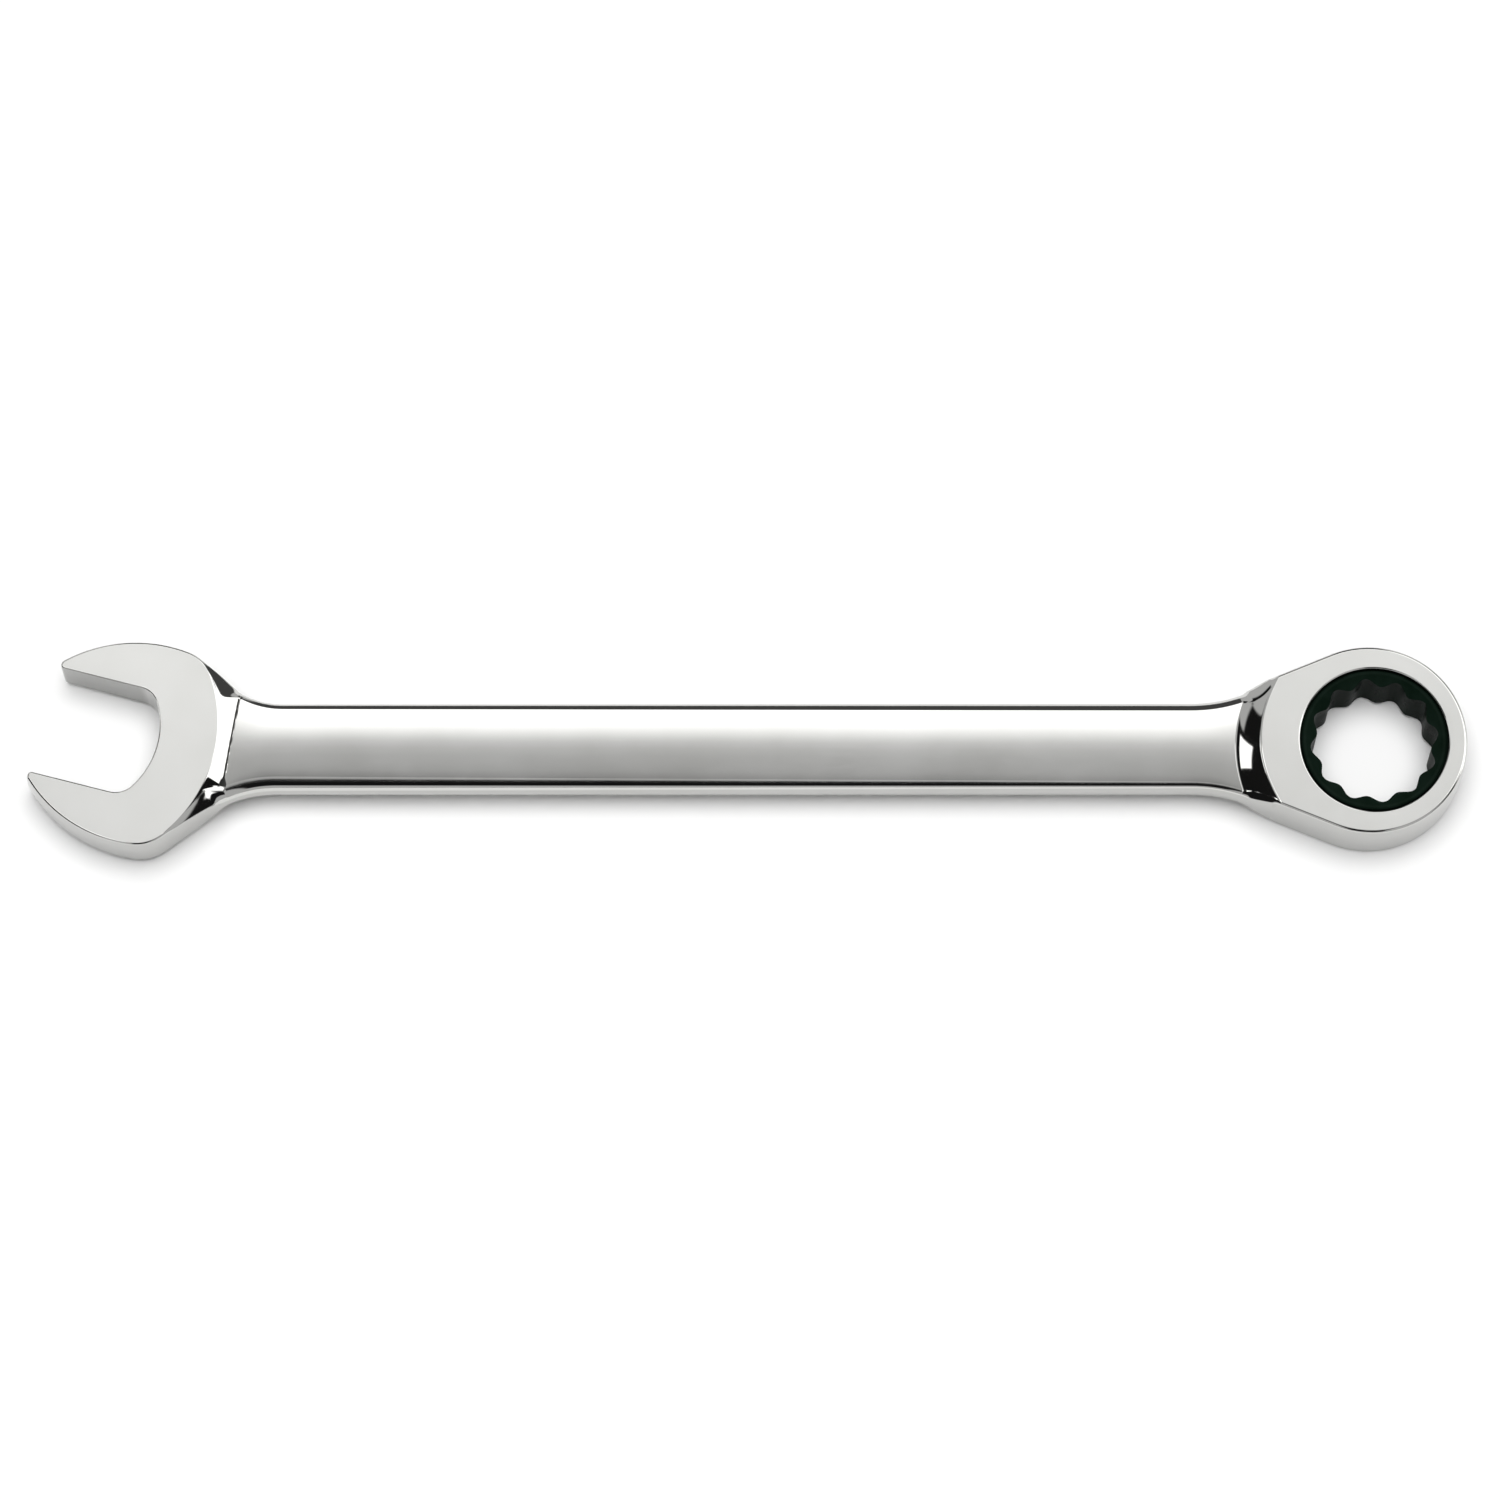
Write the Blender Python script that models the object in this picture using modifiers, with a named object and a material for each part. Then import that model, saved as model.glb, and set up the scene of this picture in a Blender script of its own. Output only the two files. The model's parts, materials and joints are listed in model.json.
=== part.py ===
"""Combination wrench: an open jaw at one end, a one-way ratcheting ring at the other.

The frame: +X runs from the open jaw to the ratcheting ring, Z = 0 is the middle
of the forging's thickness while it is modelled, and everything is lifted at the
end so that the part stands on Z = 0. Lengths below are millimetres.
"""

import math

import bmesh
import bpy
from mathutils import Matrix, Vector

MM = 0.001

# Open end, laid out about the jaw's centre: u points out of the jaw, v across it
JAW_X = -103.783
JAW_Y = -0.084
JAW_ANGLE = math.radians(15)
JAW_OPENING = 19.2
JAW_SIDE_R = 25.1
JAW_SIDE_V = 6.83
JAW_TIP_R = 0.9
JAW_CORNER_R = 7.5
JAW_BACK_U = 13.4
JAW_BACK_R = 26.35
THROAT_U = 12.6
THROAT_R = 15.0
THROAT_FILLET_R = 4.0
JAW_THICK = 9.3
JAW_TAPER = 0.046

# Ring end
RING_X = 107.565
HEAD_OFFSET = -0.75
HEAD_R = 16.9
HEAD_THICK = 11.8
FLANK_ANGLE = math.radians(22.5)
HEAD_CREASE_X = 91.2
HEAD_CREASE_BULGE = 3.15

# Shank
SHANK_HALF = 7.8
SHANK_THICK = 6.9
SHANK_CROWN = 0.45
CROWN_APEX = 0.4
RING_FILLET_R = 26.0
TOP_FILLET_R = 14.0
LOW_FILLET_R = 20.0
TOP_NECK_ANGLE = math.radians(40)
LOW_NECK_ANGLE = math.radians(36.5)
TOP_LEAVE = math.pi / 2 + TOP_NECK_ANGLE - JAW_ANGLE
LOW_LEAVE = math.pi / 2 + LOW_NECK_ANGLE + JAW_ANGLE
RING_START_X = 84.6
RING_START_BULGE = 1.35
TOP_START_X = -86.5
LOW_START_X = -88.8
RAMP_POWER = 1.35
STRAIGHT_FROM = 0.3

# Edge rounding and the slight bulge of the forged sides
JAW_EDGE = 0.4
FLAT_EDGE = 0.3
HEAD_EDGE = 0.55
TOP_SHANK_EDGE = (1.2, 1.8)
LOW_SHANK_EDGE = (2.2, 0.9)
OPEN_SWELL = (2.4, 1.4)
RING_SWELL = (1.2, 0.5)
CREASE_SHARE = 0.96
SWELL_SHARE = 0.25
SWELL_DROP = 0.58
SWELL_POWER = 1.12
SIDE_BULGE = 0.2
BULGE_EDGE = 0.9

# Ratchet, bore and retaining groove
LIP_R = 12.75
LIP_BOTTOM = 4.3
LIP_CHAMFER = 0.3
BORE_R = 13.75
TEETH = 72
TOOTH_TIP_R = 13.4
TOOTH_ROOT_R = 12.85
LAND = 0.1
TOOTH_TOP = 4.0
TOOTH_BOTTOM = -3.2
HUB_R = 12.4
HUB_Z = 5.75
HUB_CHAMFER = 0.25
LOBES = 12
LOBE_MEAN_R = 10.45
LOBE_DEPTH = 0.6
LOBE_PHASE = math.radians(7)
SINK_R = 11.75
SINK_DEPTH = 1.1
GROOVE_R = 14.6
GROOVE_TOP = -3.2
GROOVE_BOTTOM = -4.8
CLIP_OUTER_R = 14.3
CLIP_INNER_R = 12.75
CLIP_TOP = -3.5
CLIP_BOTTOM = -4.5
CLIP_GAP = math.radians(16)

# Pawl, its pocket and its spring, on the ring's centre line toward the shank
PAWL_HALF_W = 4.0
PAWL_TIP_R = 13.1
PAWL_BACK_R = 17.4
PAWL_TOP = 3.5
PAWL_BOTTOM = -2.8
PAWL_TEETH = 6
PAWL_VALLEY = 0.3
PAWL_SHOULDER = 0.35
PAWL_CHAMFER = 0.5
POCKET_HALF_W = 4.3
POCKET_BACK_R = 18.5
POCKET_TOP = 3.8
POCKET_BOTTOM = -3.1
SPRING_HOLE_R = 1.5
SPRING_HOLE_END_R = 23.8
SPRING_Z = 0.35
COIL_R = 1.0
WIRE_R = 0.2
COIL_TURNS = 6
CLOSED_PITCH = 2.4
SPRING_GAP = 0.3

# Facet counts
SIDE_STEPS = 12
RING_STEPS = 48
BORE_SEGMENTS = 96
CUTTER_SEGMENTS = 72
CLIP_SEGMENTS = 72
LOBE_STEPS = 8
EDGE_STEPS = 3
ACROSS = 12
RAMP_ROWS = 6
RAMP_DEPTH = 5
CREASE_STEPS = 200
COIL_STEPS = 12
WIRE_BEVEL = 2

WRENCH = "combination_wrench"


# ---------------------------------------------------------------- scene helpers

def clear_scene():
    for obj in list(bpy.data.objects):
        bpy.data.objects.remove(obj, do_unlink=True)


def new_collection(name, hidden=False):
    coll = bpy.data.collections.new(name)
    bpy.context.scene.collection.children.link(coll)
    coll.hide_render = hidden
    return coll


def material(name, colour, roughness, metallic):
    mat = bpy.data.materials.new(name)
    mat.use_nodes = True
    shader = mat.node_tree.nodes["Principled BSDF"]
    shader.inputs["Base Color"].default_value = (*colour, 1.0)
    shader.inputs["Roughness"].default_value = roughness
    shader.inputs["Metallic"].default_value = metallic
    return mat


def shade(obj, angle_deg):
    """Smooth faces, with edges sharper than the angle kept hard."""
    if obj.type != "MESH":
        return
    limit = math.radians(angle_deg)
    bm = bmesh.new()
    bm.from_mesh(obj.data)
    for face in bm.faces:
        face.smooth = True
    for edge in bm.edges:
        if len(edge.link_faces) == 2:
            edge.smooth = edge.calc_face_angle(0.0) < limit
    bm.to_mesh(obj.data)
    bm.free()


def mesh_object(name, verts, faces, coll):
    """A mesh object from millimetre vertices, its faces turned outward."""
    mesh = bpy.data.meshes.new(name)
    mesh.from_pydata([Vector(v) * MM for v in verts], [], faces)
    bm = bmesh.new()
    bm.from_mesh(mesh)
    bmesh.ops.recalc_face_normals(bm, faces=bm.faces)
    bm.to_mesh(mesh)
    bm.free()
    obj = bpy.data.objects.new(name, mesh)
    coll.objects.link(obj)
    return obj


def flat_mesh(name, outlines, bottom, top, coll):
    """Closed 2D outlines as a filled curve, extruded and turned into a mesh."""
    curve = bpy.data.curves.new(name, "CURVE")
    curve.dimensions = "2D"
    curve.fill_mode = "BOTH"
    curve.extrude = (top - bottom) / 2 * MM
    for outline in outlines:
        spline = curve.splines.new("POLY")
        spline.points.add(len(outline) - 1)
        for point, (x, y) in zip(spline.points, outline):
            point.co = (x * MM, y * MM, 0, 1)
        spline.use_cyclic_u = True
    source = bpy.data.objects.new(name + "_outline", curve)
    coll.objects.link(source)
    source.location.z = (top + bottom) / 2 * MM
    bpy.context.view_layer.update()
    depsgraph = bpy.context.evaluated_depsgraph_get()
    mesh = bpy.data.meshes.new_from_object(source.evaluated_get(depsgraph))
    mesh.name = name
    bm = bmesh.new()
    bm.from_mesh(mesh)
    bmesh.ops.remove_doubles(bm, verts=bm.verts, dist=1e-7)
    bm.to_mesh(mesh)
    bm.free()
    obj = bpy.data.objects.new(name, mesh)
    obj.matrix_world = source.matrix_world.copy()
    bpy.data.objects.remove(source, do_unlink=True)
    coll.objects.link(obj)
    return obj


def lathe(name, profile, segments, coll):
    """A closed body turned about Z from (radius, z) points running top to bottom."""
    mesh = bpy.data.meshes.new(name)
    points = [Vector((r * MM, 0, z * MM)) for r, z in profile]
    mesh.from_pydata(points, [(i, i + 1) for i in range(len(points) - 1)], [])
    obj = bpy.data.objects.new(name, mesh)
    coll.objects.link(obj)
    screw = obj.modifiers.new("turn", "SCREW")
    screw.axis = "Z"
    screw.angle = math.tau
    screw.steps = segments
    screw.render_steps = segments
    screw.use_merge_vertices = True
    screw.merge_threshold = 1e-6
    return obj


def boolean(target, cutter, operation):
    mod = target.modifiers.new(cutter.name, "BOOLEAN")
    mod.operation = operation
    mod.solver = "EXACT"
    mod.object = cutter
    cutter.display_type = "WIRE"


# ---------------------------------------------------------------- plan outlines
# A path is a list of (x, y, nx, ny): a point and the outward normal there.

def arc(cx, cy, radius, start, end, steps, outward=1):
    path = []
    for i in range(steps + 1):
        a = start + (end - start) * i / steps
        c, s = math.cos(a), math.sin(a)
        path.append((cx + radius * c, cy + radius * s, outward * c, outward * s))
    return path


def jaw_to_plan(u, v):
    c, s = math.cos(JAW_ANGLE), math.sin(JAW_ANGLE)
    return JAW_X - u * c + v * s, JAW_Y + u * s + v * c


def plan_to_jaw(x, y):
    c, s = math.cos(JAW_ANGLE), math.sin(JAW_ANGLE)
    dx, dy = x - JAW_X, y - JAW_Y
    return -dx * c + dy * s, dx * s + dy * c


def jaw_path(path):
    """Turn a path from jaw coordinates (u, v) into plan coordinates."""
    origin = jaw_to_plan(0, 0)
    out = []
    for u, v, nu, nv in path:
        x, y = jaw_to_plan(u, v)
        nx, ny = jaw_to_plan(nu, nv)
        out.append((x, y, nx - origin[0], ny - origin[1]))
    return out


def corner_centre():
    """Centre of the arc that joins the jaw's side arc to its back arc, at +v."""
    side = JAW_SIDE_R - JAW_CORNER_R
    back = JAW_BACK_R - JAW_CORNER_R
    span = math.hypot(JAW_BACK_U, JAW_SIDE_V)
    along = (side**2 - back**2 + span**2) / (2 * span)
    across = math.sqrt(side**2 - along**2)
    du, dv = JAW_BACK_U / span, JAW_SIDE_V / span
    return du * along - dv * across, -JAW_SIDE_V + dv * along + du * across


def jaw_half(corner_start):
    """Half of the jaw at +v, from the corner arc round the tip to the throat."""
    cu, cv = corner_centre()
    half = JAW_OPENING / 2
    tip_v = half + JAW_TIP_R
    tip_u = math.sqrt((JAW_SIDE_R - JAW_TIP_R) ** 2 - (tip_v + JAW_SIDE_V) ** 2)
    joint = math.atan2(cv + JAW_SIDE_V, cu)
    tip = math.atan2(tip_v + JAW_SIDE_V, tip_u)
    fillet_v = half - THROAT_FILLET_R
    fillet_u = THROAT_U - math.sqrt((THROAT_R - THROAT_FILLET_R) ** 2 - fillet_v**2)
    meet = math.atan2(fillet_v, fillet_u - THROAT_U)
    path = arc(cu, cv, JAW_CORNER_R, corner_start, joint, 6)
    path += arc(0, -JAW_SIDE_V, JAW_SIDE_R, joint, tip, SIDE_STEPS)[1:]
    path += arc(tip_u, tip_v, JAW_TIP_R, tip, -math.pi / 2, 8)[1:]
    path += arc(fillet_u, fillet_v, THROAT_FILLET_R, math.pi / 2, meet, 6, -1)
    path += arc(THROAT_U, 0, THROAT_R, meet, math.pi, 8, -1)[1:]
    return path


def mirrored(path):
    """The same path reflected across the jaw's centre line, running the other way."""
    return [(u, -v, nu, -nv) for u, v, nu, nv in reversed(path)]


def open_outline():
    """The jaw's rim, from where the top neck leaves it to where the lower neck does."""
    return jaw_path(jaw_half(TOP_LEAVE) + mirrored(jaw_half(LOW_LEAVE))[1:])


def back_crease():
    """The edge of the jaw's flat face across the neck, top end to lower end."""
    cu, cv = corner_centre()
    joint = math.atan2(cv, cu - JAW_BACK_U)
    top = arc(cu, cv, JAW_CORNER_R, TOP_LEAVE, joint, 120)
    back = arc(JAW_BACK_U, 0, JAW_BACK_R, joint, math.tau - joint, 200)
    low = mirrored(arc(cu, cv, JAW_CORNER_R, LOW_LEAVE, joint, 120))
    return jaw_path(top + back[1:] + low[1:])


def neck_path(start, radius, sign, toward):
    """Straight neck then a hollow fillet into the shank's side at y = sign*SHANK_HALF."""
    x0, y0, nx, ny = start
    slope = math.atan2(abs(nx), abs(ny))
    reach = (abs(y0) - SHANK_HALF) / math.tan(slope)
    corner_x = x0 + toward * reach
    flat_x = corner_x + toward * radius * math.tan(slope / 2)
    cy = sign * (SHANK_HALF + radius)
    upright = -sign * math.pi / 2
    lean = upright - toward * sign * slope
    hollow = arc(flat_x, cy, radius, lean, upright, 12, -1)
    return [start] + hollow


def side_paths():
    """Both long sides, each from the open jaw to the ring head."""
    rim = open_outline()
    centre = RING_X + HEAD_OFFSET
    leave = math.pi / 2 + FLANK_ANGLE
    sides = []
    for sign, start, radius in ((1, rim[0], TOP_FILLET_R), (-1, rim[-1], LOW_FILLET_R)):
        head = arc(centre, 0, HEAD_R, sign * leave, sign * leave, 1)[0]
        near = neck_path(start, radius, sign, 1)
        far = neck_path(head, RING_FILLET_R, sign, -1)
        sides.append(near + far[::-1])
    return sides


def at_x(path, x):
    """The point of a path that runs along X, found at a given x."""
    for a, b in zip(path, path[1:]):
        if a[0] <= x <= b[0]:
            t = (x - a[0]) / (b[0] - a[0])
            point = [p + (q - p) * t for p, q in zip(a, b)]
            size = math.hypot(point[2], point[3])
            return point[0], point[1], point[2] / size, point[3] / size
    return path[-1] if x > path[-1][0] else path[0]


# ---------------------------------------------------------------- the forging

def blend(a, b, t):
    return a + (b - a) * t


def smooth(t):
    t = min(max(t, 0.0), 1.0)
    return t * t * (3 - 2 * t)


def jaw_height(x, y):
    return (JAW_THICK - JAW_TAPER * plan_to_jaw(x, y)[0]) / 2


def crown(t):
    """Height of the shank's crowned face, t running 0 to 1 across it."""
    return SHANK_THICK / 2 - SHANK_CROWN * (2 * (t - CROWN_APEX)) ** 2


def edge_and_bulge(edge, swell=0.0):
    """An edge's size, its side's bulge (less below a large edge) and its swell, 0 to 1."""
    return edge, SIDE_BULGE * BULGE_EDGE / max(edge, BULGE_EDGE), swell


def rim_edges(path):
    """Edge radius and bulge at each point of the jaw's rim; the flats stay flat."""
    out = []
    for x, y, nx, ny in path:
        beyond = abs(plan_to_jaw(x, y)[1]) - JAW_OPENING / 2
        outer = smooth(beyond / JAW_TIP_R)
        out.append((blend(FLAT_EDGE, JAW_EDGE, outer), SIDE_BULGE * outer, 0.0))
    return out


def chord_arc(start, end, bulge, steps):
    """Plan points of an arc from start to end, bowed by bulge toward +X."""
    sx, sy = start
    ex, ey = end
    out = []
    for i in range(steps + 1):
        t = i / steps
        bow = bulge * 4 * t * (1 - t)
        out.append((blend(sx, ex, t) + bow, blend(sy, ey, t)))
    return out


def inset(point, depth):
    x, y, nx, ny = point
    return x - nx * depth, y - ny * depth


def nearest(points, x, y):
    """The point of a polyline that is closest to (x, y) in plan."""
    best, found = math.inf, points[0]
    for (ax, ay), (bx, by) in zip(points, points[1:]):
        dx, dy = bx - ax, by - ay
        t = ((x - ax) * dx + (y - ay) * dy) / (dx * dx + dy * dy)
        t = min(max(t, 0.0), 1.0)
        point = ax + dx * t, ay + dy * t
        gap = math.dist(point, (x, y))
        if gap < best:
            best, found = gap, point
    return found


def ramp_rows(feet, outer, start, head_height):
    """Rows of 3D points that fall from the head's crease to the ramp's outer edge."""
    first_y, last_y = start[0][1], start[-1][1]
    reach = [math.dist(p, q) for p, q in zip(feet, outer)]
    for k in range(RAMP_ROWS):
        reach[k] = max(reach[k], reach[RAMP_ROWS])
        reach[-1 - k] = max(reach[-1 - k], reach[-1 - RAMP_ROWS])
    rows = []
    for j in range(RAMP_DEPTH + 1):
        share = j / RAMP_DEPTH
        row = []
        for (px, py), (qx, qy), whole in zip(feet, outer, reach):
            x, y = blend(px, qx, share), blend(py, qy, share)
            near = math.dist((px, py), (x, y))
            across = min(max((y - first_y) / (last_y - first_y), 0.0), 1.0)
            fall = 1 - (1 - min(near / whole, 1.0)) ** RAMP_POWER
            row.append((x, y, blend(head_height(x, y), crown(across), fall)))
        rows.append(row)
    return rows


class Shell:
    """The upper half of the forging's skin; the lower half is its mirror image."""

    def __init__(self):
        self.verts = []
        self.faces = []
        self.index = {}

    def vertex(self, co):
        key = tuple(round(c, 5) for c in co)
        if key not in self.index:
            self.index[key] = len(self.verts)
            self.verts.append(co)
        return self.index[key]

    def face(self, corners):
        """Add a face and its mirror image below the middle plane."""
        for sign in (1, -1):
            ring = [self.vertex((x, y, sign * z)) for x, y, z in corners]
            ring = [v for i, v in enumerate(ring) if v != ring[i - 1]]
            if len(ring) > 2:
                self.faces.append(ring if sign > 0 else ring[::-1])

    def grid(self, rows):
        for a, b in zip(rows, rows[1:]):
            for i in range(len(a) - 1):
                self.face([a[i], a[i + 1], b[i + 1], b[i]])


def wall_column(point, edge, bulge, swell, z_top):
    """Points down the side at one plan point, from the face's edge to mid-height.

    A plain edge is a quarter circle; a swollen one is lower and nearer to a bevel.
    """
    power = 2 / blend(2.0, SWELL_POWER, swell)
    drop = edge * blend(1.0, SWELL_DROP, swell)
    column = []
    for i in range(EDGE_STEPS + 1):
        a = math.pi / 2 * i / EDGE_STEPS
        x, y = inset(point, bulge + edge * (1 - math.sin(a) ** power))
        column.append((x, y, z_top - drop * (1 - max(math.cos(a), 0.0) ** power)))
    x, y = inset(point, bulge / 4)
    column.append((x, y, (z_top - drop) / 2))
    column.append((point[0], point[1], 0.0))
    return column


def neck_points(side, start_x, end_x, head_edge, shank_edge, swell, crease):
    """Side points and edges along one neck; its edge swells, short of the crease."""
    points, edges = [], []
    for i in range(RAMP_ROWS + 1):
        t = i / RAMP_ROWS
        point = at_x(side, blend(start_x, end_x, t))
        plain = blend(head_edge, shank_edge, smooth(t))
        x, y = inset(point, head_edge + SIDE_BULGE)
        room = math.dist((x, y), nearest(crease, x, y))
        edge = min(plain + swell * math.sin(math.pi * t), head_edge + CREASE_SHARE * room)
        points.append(point)
        edges.append(edge_and_bulge(edge, smooth(min(t, 1 - t) / SWELL_SHARE)))
    return points, edges


def shank_stations():
    """Fractions along the shank, close together where its sides curve."""
    near = [0.0, 0.006, 0.013, 0.021, 0.031, 0.043, 0.06]
    far = [0.93, 0.945, 0.958, 0.97, 0.98, 0.99, 1.0]
    return near + [0.3, 0.5, 0.7] + far


def side_columns(points, edges, heights):
    return [wall_column(p, *e, z) for p, e, z in zip(points, edges, heights)]


def inner_line(points, edges):
    return [inset(p, edge + bulge) for p, (edge, bulge, swell) in zip(points, edges)]


def shank_rows(stations, top_in, low_in):
    """Grid of the shank's crowned face; its last rows bow to meet the ring's ramp."""
    rows = []
    for f, top, low in zip(stations, top_in, low_in):
        bow = RING_START_BULGE * max(0.0, 1 - (1 - f) / STRAIGHT_FROM)
        plan = chord_arc(top, low, -bow, ACROSS)
        rows.append([(x, y, crown(t / ACROSS)) for t, (x, y) in enumerate(plan)])
    return rows


def forging_shell():
    shell = Shell()
    top_side, low_side = side_paths()
    rim = open_outline()
    rim_edge = rim_edges(rim)
    rim_in = inner_line(rim, rim_edge)

    # shank
    stations = shank_stations()
    top_edges = [edge_and_bulge(blend(*TOP_SHANK_EDGE, f)) for f in stations]
    low_edges = [edge_and_bulge(blend(*LOW_SHANK_EDGE, f)) for f in stations]
    top_pts = [at_x(top_side, blend(TOP_START_X, RING_START_X, f)) for f in stations]
    low_pts = [at_x(low_side, blend(LOW_START_X, RING_START_X, f)) for f in stations]
    top_in = inner_line(top_pts, top_edges)
    low_in = inner_line(low_pts, low_edges)
    open_start = chord_arc(top_in[0], low_in[0], 0.0, ACROSS)
    ring_start = chord_arc(top_in[-1], low_in[-1], -RING_START_BULGE, ACROSS)
    shell.grid(shank_rows(stations, top_in, low_in))
    shell.grid(side_columns(top_pts, top_edges, [crown(0)] * len(stations))[::-1])
    shell.grid(side_columns(low_pts, low_edges, [crown(1)] * len(stations)))

    # jaw: its ramp, its flat face edged by rim and ramp, and its sides
    crease = [inset(p, JAW_EDGE + SIDE_BULGE) for p in back_crease()]
    crease = [rim_in[0]] + crease[1:-1] + [rim_in[-1]]
    feet = open_ramp(shell, top_side, low_side, rim, crease, open_start)
    jaw_face = rim_in + feet[1:-1][::-1]
    shell.face([(x, y, jaw_height(x, y)) for x, y in jaw_face])
    shell.grid(side_columns(rim, rim_edge, [jaw_height(x, y) for x, y in rim_in]))

    ring_end(shell, top_side, low_side, ring_start)
    return shell


def ramp(shell, tops, lows, crease, start, head_height):
    """A climbing ramp and the necks' sides along it; gives its points on the crease."""
    top_pts, top_edges = tops
    low_pts, low_edges = lows
    top_in = inner_line(top_pts, top_edges)
    low_in = inner_line(low_pts, low_edges)
    outer = top_in + start[1:-1] + low_in[::-1]
    feet = [nearest(crease, x, y) for x, y in outer]
    rows = ramp_rows(feet, outer, start, head_height)
    shell.grid(rows)
    heights = [z for x, y, z in rows[-1]]
    shell.grid(side_columns(top_pts, top_edges, heights))
    shell.grid(side_columns(low_pts, low_edges, heights[::-1]))
    return feet


def open_ramp(shell, top_side, low_side, rim, crease, start):
    top_swell, low_swell = OPEN_SWELL
    tops = neck_points(top_side, rim[0][0], TOP_START_X, JAW_EDGE, TOP_SHANK_EDGE[0],
                       top_swell, crease)
    lows = neck_points(low_side, rim[-1][0], LOW_START_X, JAW_EDGE, LOW_SHANK_EDGE[0],
                       low_swell, crease)
    return ramp(shell, tops, lows, crease, start, jaw_height)


def head_height(x, y):
    return HEAD_THICK / 2


def ring_end(shell, top_side, low_side, start):
    """The ring head's rim, its flat faces and its ramp down to the shank."""
    leave = math.pi / 2 + FLANK_ANGLE
    centre = RING_X + HEAD_OFFSET
    rim = arc(centre, 0, HEAD_R, -leave, leave, RING_STEPS)
    rim = [at_x(low_side, HEAD_CREASE_X)] + rim + [at_x(top_side, HEAD_CREASE_X)]
    edges = [(HEAD_EDGE, SIDE_BULGE, 0.0)] * len(rim)
    rim_in = inner_line(rim, edges)
    crease = chord_arc(rim_in[-1], rim_in[0], -HEAD_CREASE_BULGE, CREASE_STEPS)
    top_swell, low_swell = RING_SWELL
    tops = neck_points(top_side, HEAD_CREASE_X, RING_START_X, HEAD_EDGE, TOP_SHANK_EDGE[1],
                       top_swell, crease)
    lows = neck_points(low_side, HEAD_CREASE_X, RING_START_X, HEAD_EDGE, LOW_SHANK_EDGE[1],
                       low_swell, crease)
    feet = ramp(shell, tops, lows, crease, start, head_height)
    half = HEAD_THICK / 2
    outline = rim_in + feet[1:-1]
    shell.face([(x, y, half) for x, y in outline])
    shell.grid(side_columns(rim, edges, [half] * len(rim)))


def bore_profile():
    half = HEAD_THICK / 2
    return [
        (0, half + 1),
        (LIP_R + LIP_CHAMFER + 1, half + 1),
        (LIP_R + LIP_CHAMFER, half),
        (LIP_R, half - LIP_CHAMFER),
        (LIP_R, LIP_BOTTOM),
        (BORE_R, LIP_BOTTOM),
        (BORE_R, GROOVE_TOP),
        (GROOVE_R, GROOVE_TOP),
        (GROOVE_R, GROOVE_BOTTOM),
        (BORE_R, GROOVE_BOTTOM),
        (BORE_R, LIP_CHAMFER - half),
        (BORE_R + LIP_CHAMFER, -half),
        (BORE_R + LIP_CHAMFER + 1, -half - 1),
        (0, -half - 1),
    ]


def block(name, low, high, coll):
    """A box between two millimetre corners."""
    middle = [(a + b) / 2 * MM for a, b in zip(low, high)]
    size = [(b - a) * MM for a, b in zip(low, high)]
    mesh = bpy.data.meshes.new(name)
    bm = bmesh.new()
    bmesh.ops.create_cube(bm, size=1, matrix=Matrix.LocRotScale(middle, None, size))
    bm.to_mesh(mesh)
    bm.free()
    obj = bpy.data.objects.new(name, mesh)
    coll.objects.link(obj)
    return obj


def build_body(coll, cutters):
    shell = forging_shell()
    body = mesh_object("wrench_body", shell.verts, shell.faces, coll)
    bore = lathe("cut_bore", bore_profile(), BORE_SEGMENTS, cutters)
    bore.location.x = RING_X * MM
    pocket = block(
        "cut_pawl_pocket",
        (RING_X - POCKET_BACK_R, -POCKET_HALF_W, POCKET_BOTTOM),
        (RING_X - LIP_R + 1, POCKET_HALF_W, POCKET_TOP),
        cutters,
    )
    hole_profile = [(0, RING_X - LIP_R), (SPRING_HOLE_R, RING_X - LIP_R),
                    (SPRING_HOLE_R, RING_X - SPRING_HOLE_END_R), (0, RING_X - SPRING_HOLE_END_R)]
    hole = lathe("cut_spring_hole", hole_profile, 24, cutters)
    hole.rotation_euler.y = math.pi / 2
    hole.location.z = SPRING_Z * MM
    for cutter in (bore, pocket, hole):
        boolean(body, cutter, "DIFFERENCE")
    return body


# ---------------------------------------------------------------- ratchet parts

def tooth_outline():
    """Gear rim: each tooth has a narrow tip land, set symmetrically about it."""
    pitch = math.tau / TEETH
    points = []
    for i in range(TEETH):
        for share, radius in ((-LAND, TOOTH_TIP_R), (LAND, TOOTH_TIP_R), (0.5, TOOTH_ROOT_R)):
            a = (i + share) * pitch
            points.append((radius * math.cos(a), radius * math.sin(a)))
    return points


def lobe_outline():
    """The twelve-point drive: a smooth wave whose crests take a hexagon's corners."""
    count = LOBES * LOBE_STEPS
    points = []
    for i in range(count):
        a = math.tau * i / count
        radius = LOBE_MEAN_R + LOBE_DEPTH * math.cos(LOBES * (a - LOBE_PHASE))
        points.append((radius * math.cos(a), radius * math.sin(a)))
    return points


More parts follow.
